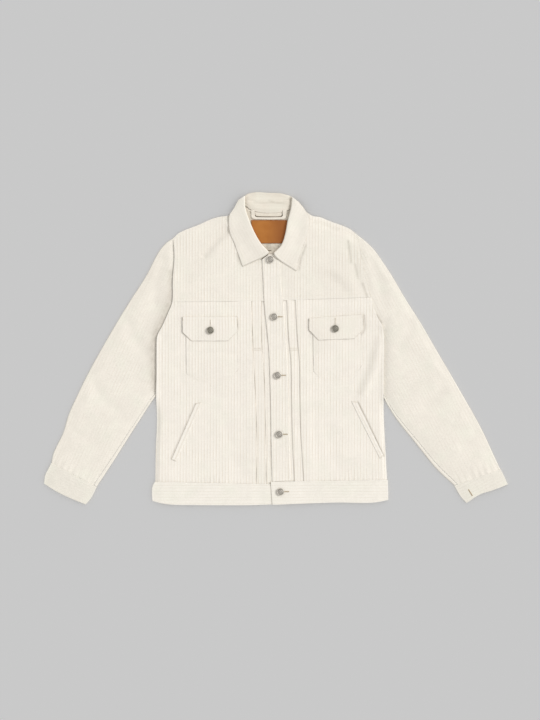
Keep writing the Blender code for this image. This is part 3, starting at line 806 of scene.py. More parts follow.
@dataclass(frozen=True)
class StripedDenim:
    """Washed cotton denim with fine woven stripes, on the cloth's own UV map in metres.

    Scales of noise are in waves per metre; twill and weft are the widths of the weave's ribs.
    """

    name: str
    ground: Colour
    stripe: Colour
    bright: Colour
    strength: float
    repeat: float = 14.16 * MM
    drift: float = 2.2 * MM
    twill: float = 1.3 * MM
    weft: float = 0.9 * MM
    slub: float = 0.75
    cool: Colour = linear(239, 237, 222)
    # colour that painted shade darkens the cloth towards
    painted_shade_colour: Colour = linear(112, 98, 76)
    fleck: float = 0.16
    mottle: float = 0.05
    broken: float = 3.2
    cast: float = 0.5
    roughness: float = 0.9
    sheen: float = 0.12

    def stops(self) -> list[tuple[float, Colour]]:
        """One repeat: two beige stripes, each beside a paler one."""
        ground, stripe, bright = self.ground, self.stripe, self.bright
        soft = tuple(mix(a, b, 0.55) for a, b in zip(ground, stripe))
        return [(0.0, ground), (0.06, stripe), (0.16, stripe), (0.22, ground), (0.30, bright),
                (0.38, ground), (0.55, ground), (0.60, soft), (0.68, stripe), (0.74, ground),
                (0.84, bright), (0.92, ground)]

    def material(self) -> bpy.types.Material:
        """Node material of the cloth."""
        made, tree = Tree.of_material(self.name)
        place = tree.place()
        uv = tree.add("ShaderNodeSeparateXYZ", {0: tree.out("ShaderNodeUVMap", uv_map=UV_NAME)}).outputs
        drift = tree.times(tree.math("SUBTRACT", tree.noise(place, 22.0), 0.5), self.drift)
        across, down = tree.math("ADD", uv[0], drift), uv[1]
        yarn = tree.out("ShaderNodeCombineXYZ", {0: tree.times(across, 700.0), 1: tree.times(down, 60.0)})
        slub = tree.noise(yarn, 1.0, 3.0)
        grain = self._grain(tree, across, down)
        cloth = self._striped(tree, place, across, slub)
        level = self._level(tree, place, grain)
        grey = tree.out("ShaderNodeCombineColor", {0: level, 1: level, 2: level})
        cloth = tree.blend(1.0, cloth, grey, "MULTIPLY")
        # rims lighter: partly wear, partly a painted highlight on the edges
        rim_wear_and_highlight = tree.times(tree.attribute(RIM_NAME), tree.times(tree.noise(place, 160.0, 2.0), 0.9))
        # painted shade: darkens towards the shade colour where the painted shade attribute is set, a little unevenly
        fold = tree.times(tree.attribute(PAINTED_SHADE_NAME), tree.times(tree.noise(place, 90.0, 3.0), 1.2, 0.4))
        coloured = tree.blend(tree.share(fold), tree.blend(rim_wear_and_highlight, cloth, self.bright), self.painted_shade_colour)
        height = tree.math("ADD", tree.times(grain, 0.35), tree.times(slub, 0.8))
        tree.shade(coloured, self.roughness, (0.35, 0.25, height), Specular_IOR_Level=0.25,
                   Sheen_Weight=self.sheen, Sheen_Roughness=0.5)
        return made

    def _grain(self, tree: Tree, across: Socket, down: Socket) -> Socket:
        """Ribs of the twill crossed by the weft, from -1 to 1.

        Args:
            tree: tree that it is built in.
            across: place across the stripes.
            down: place along them.

        Returns:
            The height of the ribs.
        """
        twill = tree.math("SINE", tree.times(tree.math("ADD", across, down), 2 * math.pi / self.twill))
        weft = tree.math("SINE", tree.times(down, 2 * math.pi / self.weft))
        return tree.times(twill, 0.6, tree.times(weft, 0.4))

    def _striped(self, tree: Tree, place: Socket, across: Socket, slub: Socket) -> Socket:
        """Ground with the stripes that washing has broken up.

        Args:
            tree: tree that it is built in.
            place: place in the object.
            across: place across the stripes.
            slub: noise along the yarns.

        Returns:
            Its colour.
        """
        banded = tree.ramp(tree.math("FRACT", tree.math("DIVIDE", across, self.repeat)), self.stops())
        amount = tree.times(tree.times(slub, 2 * self.slub, 1.0 - self.slub),
                            tree.times(tree.noise(place, 26.0, 3.0), self.broken, 1.0 - self.broken / 2))
        cast = tree.times(tree.noise(place, 19.0, 3.0), 4 * self.cast, -1.8 * self.cast)
        ground = tree.blend(tree.share(cast), self.ground, self.cool)
        return tree.blend(tree.share(tree.times(amount, self.strength)), ground, banded)

    def _level(self, tree: Tree, place: Socket, grain: Socket) -> Socket:
        """Brightness from clouds, mottling and flecks, with the grain in it.

        Args:
            tree: tree that it is built in.
            place: place in the object.
            grain: height of the ribs.

        Returns:
            A factor of about 1.
        """
        cloudy = tree.times(tree.times(tree.noise(place, 11.0, 4.0), 0.07, 0.965),
                            tree.times(tree.noise(place, 52.0, 2.0), 2 * self.mottle, 1.0 - self.mottle))
        fleck = tree.times(tree.noise(place, 420.0, 1.0), self.fleck, 1.0 - self.fleck / 2)
        return tree.times(tree.times(cloudy, fleck), tree.times(grain, 0.02, 1.0))


@dataclass(frozen=True)
class Thread:
    """Sewing thread with its ply twisted along the stitch; also dark lines of painted shade laid as stitches."""

    name: str
    colour: Colour
    dark: Colour

    def material(self) -> bpy.types.Material:
        """Node material of the thread."""
        made, tree = Tree.of_material(self.name)
        place = tree.place()
        colour = tree.blend(tree.noise(place, 300.0, 2.0), self.dark, self.colour)
        wave = tree.add("ShaderNodeTexWave", {"Vector": place, "Scale": 900.0, "Distortion": 1.5})
        tree.shade(colour, 0.7, (0.4, 0.1, wave.outputs[1]), Sheen_Weight=0.2)
        return made


@dataclass(frozen=True)
class Leather:
    """Bare vegetable-tanned leather with pores, rubbed edges and painted shade at its end along +X."""

    name: str = "tan_leather"
    light: Colour = linear(192, 126, 58)
    dark: Colour = linear(162, 96, 34)
    # colour of the rubbed edges, and of the painted shade at the +X end
    edge: Colour = linear(126, 66, 32)
    # span along X, in metres, over which the painted shade grows
    shade_from: float = -22 * MM
    shade_to: float = 8 * MM

    def material(self) -> bpy.types.Material:
        """Node material of the leather."""
        made, tree = Tree.of_material(self.name)
        place = tree.place()
        tone = tree.blend(tree.noise(place, 45.0, 5.0), self.dark, self.light)
        across = tree.out("ShaderNodeSeparateXYZ", {0: place})
        # painted shade towards the +X end
        turned = tree.out("ShaderNodeMapRange", {0: across, 1: self.shade_from, 2: self.shade_to})
        tone = tree.blend(tree.times(turned, 0.5), tone, self.edge)
        tone = tree.blend(tree.times(tree.attribute(RIM_NAME), 0.55), tone, self.edge)
        pores = tree.out("ShaderNodeTexVoronoi", {"Vector": place, "Scale": 900.0})
        height = tree.math("ADD", pores, tree.noise(place, 130.0, 4.0))
        tree.shade(tone, 0.6, (0.35, 0.2, height), Specular_IOR_Level=0.3)
        return made


@dataclass(frozen=True)
class AgedMetal:
    """Cast grey button metal, darker in its hollows and rubbed on its ridges."""

    name: str = "aged_metal"
    light: Colour = linear(214, 208, 198)
    dark: Colour = linear(124, 117, 106)

    def material(self) -> bpy.types.Material:
        """Node material of the metal."""
        made, tree = Tree.of_material(self.name)
        speck = tree.noise(tree.place(), 700.0, 3.0)
        amount = tree.times(speck, 0.5, tree.times(tree.attribute(RIM_NAME), 0.9, -0.2))
        tone = tree.blend(tree.share(amount), self.dark, self.light)
        tree.shade(tone, 0.45, (0.3, 0.15, speck), Metallic=0.55)
        return made


class Finish(Enum):
    """The jacket's finishes."""

    BODY = StripedDenim("body_denim", linear(244, 237, 226), linear(226, 215, 198), linear(253, 249, 241), 0.40)
    YOKE = StripedDenim("yoke_denim", linear(242, 235, 223), linear(225, 214, 198), linear(252, 248, 240), 0.32,
                        broken=5.0, fleck=0.18)
    SLEEVE = StripedDenim("sleeve_denim", linear(240, 233, 221), linear(225, 215, 200), linear(250, 246, 237), 0.15,
                          broken=4.6, fleck=0.22, cast=0.55)
    CUFF = StripedDenim("cuff_denim", linear(235, 229, 217), linear(221, 213, 198), linear(246, 242, 233), 0.14,
                        broken=4.2, fleck=0.24, cast=0.6)
    BAND = StripedDenim("band_denim", linear(243, 237, 226), linear(228, 219, 204), linear(252, 248, 241), 0.25)
    COLLAR = StripedDenim("collar_denim", linear(241, 234, 222), linear(231, 222, 207), linear(250, 245, 236), 0.15,
                          fleck=0.12)
    # collar stand and hanging loop: a darker copy of the cloth, with the shade inside the neck painted in
    SHADED_STAND = StripedDenim("stand_denim_shaded", linear(235, 226, 211), linear(226, 216, 200), linear(244, 238, 228), 0.12,
                         fleck=0.12)
    # inside of the back yoke: a darker copy of the cloth, with the shade under the collar painted in
    INSIDE = StripedDenim("inside_denim_shaded", linear(231, 221, 205), linear(222, 211, 194), linear(242, 236, 224), 0.16)
    THREAD = Thread("cream_thread", linear(247, 241, 229), linear(226, 216, 198))
    BEIGE_THREAD = Thread("beige_thread", linear(222, 208, 184), linear(190, 172, 146))
    TAN_THREAD = Thread("tan_thread", linear(200, 140, 80), linear(150, 92, 44))
    # painted shade in the buttonholes' slits
    BUTTONHOLE_SHADE = Thread("buttonhole_painted_shade", linear(196, 186, 166), linear(164, 153, 132))
    # painted shade in the cuff's buttonhole slit
    CUFF_SLIT = Thread("cuff_slit_thread", linear(184, 160, 128), linear(150, 126, 96))
    # painted shadow lines in gaps at the neck and under the hanging loop
    SHADOW = Thread("painted_shadow", linear(118, 102, 80), linear(80, 68, 52))
    LEATHER = Leather()
    METAL = AgedMetal()
    FLAP_METAL = AgedMetal("dark_metal", linear(172, 167, 154), linear(96, 91, 80))

    def dress(self, piece: bpy.types.Object) -> None:
        """Give a piece this finish, making its material the first time.

        Args:
            piece: the object.
        """
        made = bpy.data.materials.get(self.value.name) or self.value.material()
        piece.data.materials.clear()
        piece.data.materials.append(made)


# ---- walls of cloth


class Ply:
    """A wall of cloth: a grid of points in its middle, and its thickness."""

    ROUNDING = 0.22  # how far its faces stop short of a rim, in thicknesses
    RIM_REACH = 1.6  # how far in from a rim the rim share reaches: cloth is lighter there from wear and a painted highlight, leather rubbed darker
    LEAST_SIDE = 10.5  # least width and length that a flat piece is declared with
    LEAST_FILL = 0.31  # least share of width times length that its area is declared as
    ABOVE = 60.0  # height that plan points are dropped from

    def __init__(self, mids: Array, thickness: float, grain: float = 0.0,
                 probe: tuple[int, int] = (0, 0), facing: float = 1.0) -> None:
        """Work out the outer face.

        Args:
            mids: points in the middle of the cloth, (along, across, 3).
            thickness: thickness of the wall.
            grain: degrees that its stripes are turned from +Y towards -X.
            probe: row and column at which the outer face is known to look up, or down.
            facing: 1 where it looks up at the probe, -1 where it looks down.
        """
        self.mids, self.thickness, self.grain = mids, thickness, math.radians(grain)
        self.down, self.over = np.gradient(mids, axis=0), np.gradient(mids, axis=1)
        normals = np.cross(self.down, self.over)
        normals /= np.maximum(np.linalg.norm(normals, axis=2, keepdims=True), 1e-9)
        row, column = probe if probe != (0, 0) else (mids.shape[0] // 2, mids.shape[1] // 2)
        self.sign = 1.0 if normals[row, column, 2] * facing > 0 else -1.0
        self.normals = normals * self.sign
        # share of painted shade at each point; shade along rims and the table of painted shade add to it
        self.fold = np.zeros(mids.shape[:2])
        self._skin: Optional[BVHTree] = None

    def paint_rim_shade(self, shares: dict) -> "Ply":
        """Paint shade along rims, as if the gap beside them lay in shadow, a little unevenly.

        Args:
            shares: how dark the painted shade along each rim is, from 0 to 1.

        Returns:
            The wall itself.
        """
        for rim, share in shares.items():
            line = self.fold.T if rim in (Rim.LOW, Rim.HIGH) else self.fold
            row = line[0 if rim in (Rim.START, Rim.LOW) else -1]
            place = np.arange(len(row))
            row[:] = share * (0.7 + 0.3 * np.sin(place / 2.3 + 2.0 * np.sin(place / 7.0) + share * 9.0))
        return self

    def _arcs(self) -> tuple[Array, Array]:
        """Lengths down the columns and along the rows up to each point."""
        down = np.linalg.norm(np.diff(self.mids, axis=0), axis=2)
        over = np.linalg.norm(np.diff(self.mids, axis=1), axis=2)
        return (np.concatenate([np.zeros((1, down.shape[1])), np.cumsum(down, axis=0)]),
                np.concatenate([np.zeros((over.shape[0], 1)), np.cumsum(over, axis=1)], axis=1))

    def cut(self) -> tuple[float, float, float]:
        """Width, length and area of the flat piece, in metres."""
        down, over = self._arcs()
        cross = np.cross(self.mids[1:, :-1] - self.mids[:-1, :-1], self.mids[:-1, 1:] - self.mids[:-1, :-1])
        other = np.cross(self.mids[1:, :-1] - self.mids[1:, 1:], self.mids[:-1, 1:] - self.mids[1:, 1:])
        area = (np.linalg.norm(cross, axis=2).sum() + np.linalg.norm(other, axis=2).sum()) / 2
        width, length = (max(float(run.max()), self.LEAST_SIDE) for run in (over, down))
        whole = width * length
        return width * MM, length * MM, float(np.clip(area, self.LEAST_FILL * whole, whole)) * MM * MM

    def piece(self, name: str) -> bpy.types.Object:
        """Closed mesh object of the wall, with rounded rims, a UV map, a rim attribute and a painted shade attribute.

        Args:
            name: its name.

        Returns:
            The object.
        """
        tall, wide = self.mids.shape[:2]
        count = tall * wide
        out = np.zeros_like(self.mids)
        down = self.down / np.maximum(np.linalg.norm(self.down, axis=2, keepdims=True), 1e-9)
        over = self.over / np.maximum(np.linalg.norm(self.over, axis=2, keepdims=True), 1e-9)
        out[0] -= down[0]
        out[-1] += down[-1]
        out[:, 0] -= over[:, 0]
        out[:, -1] += over[:, -1]
        shift = self.normals * self.thickness / 2
        inset = out * self.ROUNDING * self.thickness
        index = np.arange(count).reshape(tall, wide)
        ring = np.concatenate([index[0, :], index[1:, -1], index[-1, -2::-1], index[-2:0:-1, 0]])
        flat = self.mids.reshape(-1, 3)
        corners = np.concatenate([(self.mids + shift - inset).reshape(-1, 3),
                                  (self.mids - shift - inset).reshape(-1, 3), flat[ring]])
        a, b = index[:-1, :-1].ravel(), index[:-1, 1:].ravel()
        c, d = index[1:, 1:].ravel(), index[1:, :-1].ravel()
        after = np.roll(ring, -1)
        edge = 2 * count + np.arange(len(ring))
        edge_after = np.roll(edge, -1)
        faces = np.concatenate([
            np.stack([a, d, c, b], 1), np.stack([a, b, c, d], 1) + count,
            np.stack([ring, after, edge_after, edge], 1),
            np.stack([edge, edge_after, after + count, ring + count], 1)])
        if self.sign < 0:
            faces = faces[:, ::-1]
        piece = mesh_piece(name, corners, faces)
        turned = self._uv(flat)
        self._lay_uv(piece.data, np.concatenate([turned, turned, turned[ring]]))
        for attribute, values in ((RIM_NAME, self._rim_share().ravel()), (PAINTED_SHADE_NAME, self.fold.ravel())):
            lay_values(piece.data, attribute, np.concatenate([values, values, values[ring]]))
        return piece

    def _uv(self, flat: Array) -> Array:
        """Cloth coordinates in metres, across the stripes and along them."""
        cosine, sine = math.cos(self.grain), math.sin(self.grain)
        return np.stack([flat[:, 0] * cosine + flat[:, 1] * sine, flat[:, 1] * cosine - flat[:, 0] * sine], 1) * MM

    @staticmethod
    def _lay_uv(mesh: bpy.types.Mesh, uv: Array) -> None:
        """Write a UV map from a value for each vertex.

        Args:
            mesh: the mesh.
            uv: cloth coordinates of each vertex.
        """
        layer = mesh.uv_layers.new(name=UV_NAME)
        owner = np.zeros(len(mesh.loops), np.int32)
        mesh.loops.foreach_get("vertex_index", owner)
        layer.uv.foreach_set("vector", uv[owner].astype(np.float32).ravel())

    def _rim_share(self) -> Array:
        """Closeness to the rims, from 1 at them to 0."""
        down, over = self._arcs()
        away = np.minimum(np.minimum(down, down[-1:] - down), np.minimum(over, over[:, -1:] - over))
        return np.exp(-away / self.RIM_REACH)

    def beside(self, rim: Rim, away: float, trim: Pair = (0.0, 0.0), lift: float = 0.0) -> Array:
        """A line on the outer face that follows a rim.

        Args:
            rim: the rim that it follows.
            away: how far inside that rim it lies.
            trim: lengths left off at its two ends.
            lift: height over the face.

        Returns:
            Points in millimetres.
        """
        down, over = self._arcs()
        skin = self.mids + self.normals * (self.thickness / 2 + lift)
        if rim in (Rim.START, Rim.END):
            skin, arcs = skin.transpose(1, 0, 2), down.T
        else:
            arcs = over
        if rim in (Rim.END, Rim.HIGH):
            skin, arcs = skin[:, ::-1], arcs[:, -1:] - arcs[:, ::-1]
        line = np.array([[np.interp(away, arc, row[:, k]) for k in range(3)] for arc, row in zip(arcs, skin)])
        return trimmed(line, trim)

    def drop(self, line: Array, lift: float = 0.0) -> Array:
        """Plan points laid on the outer face from above.

        Args:
            line: plan points.
            lift: height over the face.

        Returns:
            Points in millimetres, those that miss the cloth left out.
        """
        if self._skin is None:
            tall, wide = self.mids.shape[:2]
            skin = (self.mids + self.normals * self.thickness / 2).reshape(-1, 3)
            index = np.arange(tall * wide).reshape(tall, wide)
            quads = np.stack([index[:-1, :-1].ravel(), index[1:, :-1].ravel(), index[1:, 1:].ravel(),
                              index[:-1, 1:].ravel()], 1)
            self._skin = BVHTree.FromPolygons(skin.tolist(), quads.tolist())
        found = (self._skin.ray_cast(Vector((x, y, self.ABOVE)), Vector((0, 0, -1)))[0] for x, y in line)
        return np.array([(*hit[:2], hit[2] + lift) for hit in found if hit is not None]).reshape(-1, 3)


def trimmed(line: Array, trim: Pair = (0.0, 0.0), pitch: float = 1.5) -> Array:
    """A line with its ends cut back, at an even pitch.

    Args:
        line: points.
        trim: lengths left off at the two ends.
        pitch: distance between the points that come back.

    Returns:
        Points.
    """
    marks = np.concatenate([[0.0], np.cumsum(np.linalg.norm(np.diff(line, axis=0), axis=1))])
    places = np.arange(trim[0], marks[-1] - trim[1], pitch)
    return np.stack([np.interp(places, marks, line[:, k]) for k in range(line.shape[1])], 1)


def tucked(mids: Array, rim: Rim, shift: Pair, drop: float) -> Array:
    """Rows of cloth with two more past a seam, which go down under the piece sewn over it.

    Args:
        mids: points in the middle of the cloth.
        rim: START or END, the rim that is sewn under.
        shift: how far in plan the last row lies past the rim.
        drop: how far it lies below it.

    Returns:
        The longer grid.
    """
    edge = mids[0] if rim is Rim.START else mids[-1]
    share = np.clip((edge[:, 2] - LAYERS.back) / 3.0, 0.0, 1.0)
    rows = []
    for part, down in ((0.3, 0.55), (1.0, 1.0)):
        row = edge.copy()
        row[:, :2] += np.array(shift) * part
        row[:, 2] = np.maximum(edge[:, 2] - drop * down * share, LAYERS.back)
        rows.append(row[None])
    if rim is Rim.START:
        return np.concatenate([*rows[::-1], mids])
    return np.concatenate([mids, *rows])


def linked(name: str, data: bpy.types.ID) -> bpy.types.Object:
    """New object of a mesh, lamp or camera, in the scene and at the origin.

    Args:
        name: its name.
        data: its mesh, lamp or camera.

    Returns:
        The object.
    """
    made = bpy.data.objects.new(name, data)
    bpy.context.scene.collection.objects.link(made)
    return made


def mesh_piece(name: str, corners: Sequence, faces: Sequence, edges: Sequence = ()) -> bpy.types.Object:
    """Object of a mesh given in millimetres, smooth shaded.

    Args:
        name: its name.
        corners: places of its corners.
        faces: corners of each face.
        edges: corners of each loose edge.

    Returns:
        The object.
    """
    faces = faces.tolist() if isinstance(faces, Array) else faces
    mesh = bpy.data.meshes.new(name)
    mesh.from_pydata((np.asarray(corners) * MM).tolist(), list(edges), [tuple(face) for face in faces])
    mesh.shade_smooth()
    return linked(name, mesh)


def lay_values(mesh: bpy.types.Mesh, name: str, values: Sequence[float]) -> None:
    """Write an attribute from a value for each vertex."""
    mesh.attributes.new(name, "FLOAT", "POINT").data.foreach_set("value", np.asarray(values, np.float32))


@dataclass
class Wardrobe:
    """Places finished pieces on the body, and logs them."""

    pieces: int = 0
    triangles: int = 0

    def place(self, piece: bpy.types.Object, finish: Finish, slot: Slot, nodes: Sequence[str] = ()) -> None:
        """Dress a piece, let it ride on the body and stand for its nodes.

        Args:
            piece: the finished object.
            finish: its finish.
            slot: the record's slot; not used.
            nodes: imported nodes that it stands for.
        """
        finish.dress(piece)
        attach(piece, BODY)
        if nodes:
            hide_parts(*nodes)
        count = len(piece.data.loops) - 2 * len(piece.data.polygons)
        self.pieces += 1
        self.triangles += count
        LOG.info("%-28s %6d triangles", piece.name, count)

    def cloth(self, ply: Ply, node: str, finish: Finish, slot: Slot, rests_on: Sequence[str]) -> bpy.types.Object:
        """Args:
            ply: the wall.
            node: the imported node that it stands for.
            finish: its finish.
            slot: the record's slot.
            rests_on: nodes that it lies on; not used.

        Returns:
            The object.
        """
        # painted shade along the lines listed for this node
        for crease in PAINTED_SHADES.get(node, ()):
            ply.fold = ply.fold + crease.depth_at(ply.mids[..., 0], ply.mids[..., 1])
        piece = ply.piece(node + "_cloth")
        self.place(piece, finish, slot, [node])
        width, length, area = ply.cut()
        list(rests_on)
        return piece


# ---- stitches


@dataclass(frozen=True)
class StitchStyle:
    """Sizes of one kind of stitch."""

    pitch: float = 3.3
    length: float = 2.5
    width: float = 0.62
    rise: float = 0.5
    turn: float = 0.0


TOPSTITCH = StitchStyle()
BARTACK = StitchStyle(pitch=0.5, length=1.7, width=0.45, rise=0.5, turn=90.0)
EYELET = StitchStyle(pitch=0.55, length=1.9, width=0.5, rise=0.55, turn=90.0)


class StitchNodes:
    """Geometry Nodes tree that lays stitches along lines."""

    NAME = "lay_stitches"

    @classmethod
    def tree(cls) -> bpy.types.NodeTree:
        """The tree, built the first time."""
        made = bpy.data.node_groups.get(cls.NAME)
        if made is not None:
            return made
        made = bpy.data.node_groups.new(cls.NAME, "GeometryNodeTree")
        sizes = [(name, "INPUT", "Float") for name in ("Pitch", "Length", "Width", "Rise", "Turn")]
        for name, way, kind in (("Geometry", "INPUT", "Geometry"), *sizes, ("Thread", "INPUT", "Material"),
                                ("Geometry", "OUTPUT", "Geometry")):
            made.interface.new_socket(name, in_out=way, socket_type="NodeSocket" + kind)
        tree = Tree(made)
        given = tree.add("NodeGroupInput").outputs
        curve = tree.out("GeometryNodeMeshToCurve", {0: given["Geometry"]})
        spots = tree.add("GeometryNodeCurveToPoints", {"Curve": curve, "Length": given["Pitch"]}, mode="LENGTH")
        heading = tree.out("FunctionNodeAlignRotationToVector", {"Vector": spots.outputs["Tangent"]}, axis="X")
        quarter = tree.out("FunctionNodeEulerToRotation", {0: tree.out("ShaderNodeCombineXYZ", {2: given["Turn"]})})
        turned = tree.out("FunctionNodeRotateRotation", {0: heading, 1: quarter}, rotation_space="LOCAL")
        bead = tree.out("GeometryNodeMeshUVSphere", {"Segments": 6, "Rings": 3, "Radius": 0.5})
        size = tree.out("ShaderNodeCombineXYZ", {0: given["Length"], 1: given["Width"], 2: given["Rise"]})
        laid = tree.out("GeometryNodeInstanceOnPoints", {
            "Points": spots.outputs["Points"], "Instance": bead, "Rotation": turned, "Scale": size})
        smooth = tree.out("GeometryNodeSetShadeSmooth", {0: tree.out("GeometryNodeRealizeInstances", {0: laid})})
        dressed = tree.out("GeometryNodeSetMaterial", {"Geometry": smooth, "Material": given["Thread"]})
        tree.add("NodeGroupOutput", {0: dressed})
        return made


@dataclass
class Sewing:
    """Collects the stitch lines of one sub-assembly and lays them as meshes."""

    name: str
    finish: Finish = Finish.THREAD
    slot: Slot = Slot.DENIM
    lines: dict = field(default_factory=dict)

    def add(self, line: Array, style: StitchStyle = TOPSTITCH) -> None:
        """Keep a line to sew in a style."""
        if len(line) > 1:
            self.lines.setdefault(style, []).append(line)

    def rows(self, ply: Ply, rim: Rim, inside: Sequence[float], trim: Pair = (2.0, 2.0)) -> None:
        """Topstitch rows at distances inside a rim, cut back at their ends."""
        for away in inside:
            self.add(ply.beside(rim, away, trim))

    def tack(self, ply: Ply, ax: float, ay: float, bx: float, by: float) -> None:
        """Sew a bar tack from one place to another."""
        self.add(ply.drop(trimmed(np.array([(ax, ay), (bx, by)], float), pitch=0.5), 0.05), BARTACK)

    def lay(self, wardrobe: Wardrobe) -> None:
        """Make a piece of each style's stitches.

        Args:
            wardrobe: where the pieces go.
        """
        for number, (style, lines) in enumerate(self.lines.items()):
            name = self.name + ("_stitches" if number == 0 else "_stitches_%d" % number)
            corners = np.concatenate(lines)
            starts = np.cumsum([0] + [len(line) for line in lines])
            edges = [(i, i + 1) for low, high in zip(starts, starts[1:]) for i in range(low, high - 1)]
            path = mesh_piece(name + "_path", corners, np.zeros((0, 4), int), edges)
            self.finish.dress(path)
            wardrobe.place(self._grow(path, name, style), self.finish, self.slot)

    def _grow(self, path: bpy.types.Object, name: str, style: StitchStyle) -> bpy.types.Object:
        """Stitches along a path as a plain mesh, the path and its modifier removed.

        Args:
            path: lines that they follow.
            name: their name.
            style: their sizes.

        Returns:
            The stitches.
        """
        modifier = path.modifiers.new("stitches", "NODES")
        modifier.node_group = StitchNodes.tree()
        sizes = {"Pitch": style.pitch * MM, "Length": style.length * MM, "Width": style.width * MM,
                 "Rise": style.rise * MM, "Turn": math.radians(style.turn), "Thread": path.data.materials[0]}
        for item in modifier.node_group.interface.items_tree:
            if item.in_out == "INPUT" and item.name in sizes:
                modifier[item.identifier] = sizes[item.name]
        graph = bpy.context.evaluated_depsgraph_get()
        mesh = bpy.data.meshes.new_from_object(path.evaluated_get(graph))
        bpy.data.objects.remove(path)
        mesh.name = name
        mesh.polygons.foreach_set("material_index", np.zeros(len(mesh.polygons), np.int32))
        return linked(name, mesh)


# ---- the jacket's parts


@dataclass
class Jacket:
    """What every part needs: how the cloth lies, and where pieces go."""

    drape: Drape
    wardrobe: Wardrobe


@dataclass
class Part:
    """A sub-assembly of the jacket."""

    jacket: Jacket

    @property
    def drape(self) -> Drape:
        """How the jacket's cloth lies."""
        return self.jacket.drape

    @property
    def wardrobe(self) -> Wardrobe:
        """Where its pieces go."""
        return self.jacket.wardrobe

    def topstitch(self, name: str, ply: Ply, rows: Sequence[tuple], finish: Finish = Finish.THREAD,
                  slot: Slot = Slot.DENIM) -> None:
        """Sew rows of stitches along the rims of one piece.

        Args:
            name: name that the stitches go by.
            ply: the piece.
            rows: for each rim, how far inside it the rows lie, and lengths left off at their ends.
            finish: finish of the thread.
            slot: the record's slot.
        """
        sewing = Sewing(name, finish, slot)
        for row in rows:
            sewing.rows(ply, *row)
        sewing.lay(self.wardrobe)


@dataclass
class SidePart(Part):
    """A sub-assembly that the jacket has on both sides."""

    outline: Outline

    @property
    def side(self) -> str:
        """Name of its side."""
        return self.outline.side.value

    @property
    def reach(self) -> float:
        """How far its front runs on under the other one."""
        return self.pick(LAYERS.lap_width, 0.0)

    def pick(self, right: Any, left: Any) -> Any:
        """The first value on the right side, the second one on the left."""
        return right if self.outline.side is Side.RIGHT else left

    def cloth(self, ply: Ply, node: str, finish: Finish, slot: Slot, *rests_on: str) -> None:
        """Place a wall of cloth as a node, lying on others; * in their names stands for the side."""
        node, *under = (name.replace("*", self.side) for name in (node, *rests_on))
        self.wardrobe.cloth(ply, node, finish, slot, under)


def arm_line(outline: Outline) -> Line:
    """Armhole and flank as one smooth line."""
    return Line(list(outline.armhole) + list(outline.flank[1:]))


@dataclass
class BackBody(Part):
    """Back yoke, back panel and back waistband, flat on the surface but for the neck."""

    pitch: float = 7.0
    yoke_pitch: float = 4.5
    top: float = 300.0
    bottom: float = -400.0

    def build(self) -> None:
        """Make the three pieces."""
        drape, seam = self.drape, LAYERS.seam
        right, left = OUTLINES[Side.RIGHT], OUTLINES[Side.LEFT]
        arms = arm_line(right), arm_line(left)
        top = Line(list(right.shoulder[::-1])).plus(Line([right.shoulder[0]] + BACK_NECK + [left.shoulder[0]]))
        top = top.plus(Line(left.shoulder))
        yoke_seam = Line([(arm.x_at(YOKE_SEAM_Y), YOKE_SEAM_Y) for arm in arms])
        ends = [self._stretch(arm, self.top, YOKE_SEAM_Y) for arm in arms]
        yoke = Patch(top, yoke_seam, *ends)
        # back yoke in darker cloth with painted shade
        self._lay("back_yoke", yoke, (0.0, 0.0), drape.back, LAYERS.denim, Finish.INSIDE, Slot.DENIM, self.yoke_pitch)
        flanks = [self._stretch(arm, YOKE_SEAM_Y, self.bottom) for arm in arms]
        waist = Line(BACK_WAIST, rounded=False)
        panel = Patch(yoke_seam, waist, *flanks)
        self._lay("back_panel", panel, (seam, seam), drape.back, LAYERS.denim, Finish.BODY, Slot.DENIM, self.pitch)
        band = Patch(waist, Line(HEM), Line(right.waist_side), Line(left.waist_side))
        self._lay("waistband_back", band, (0.0, 0.0), lambda x, y: 0 * x + LAYERS.band / 2, LAYERS.band,
                  Finish.BAND, Slot.BAND, self.pitch)

    def _stretch(self, arm: Line, high: float, low: float) -> Line:
        """The part of an arm line between two heights.

        Args:
            arm: the arm line.
            high: upper height.
            low: lower height.

        Returns:
            The part between them.
        """
        whole = list(arm.points[(arm.points[:, 1] < high) & (arm.points[:, 1] > low)])
        if high < self.top:
            whole.insert(0, (arm.x_at(high), high))
        if low > self.bottom:
            whole.append((arm.x_at(low), low))
        return Line(whole, rounded=False)

    def _lay(self, node: str, patch: Patch, trim: Pair, height: Heights, thickness: float,
             finish: Finish, slot: Slot, pitch: float) -> None:
        """Make one of the pieces.

        Args:
            node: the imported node.
            patch: its plan.
            trim: seams left free at its ends.
            height: its height rule.
            thickness: its thickness.
            finish: its finish.
            slot: the record's slot.
            pitch: distance between its points.
        """
        x, y = patch.grid(pitch, pitch, trim)
        grain = ACROSS if slot is Slot.BAND else 0.0
        self.wardrobe.cloth(Ply(np.dstack([x, y, height(x, y)]), thickness, grain), node, finish, slot, [])


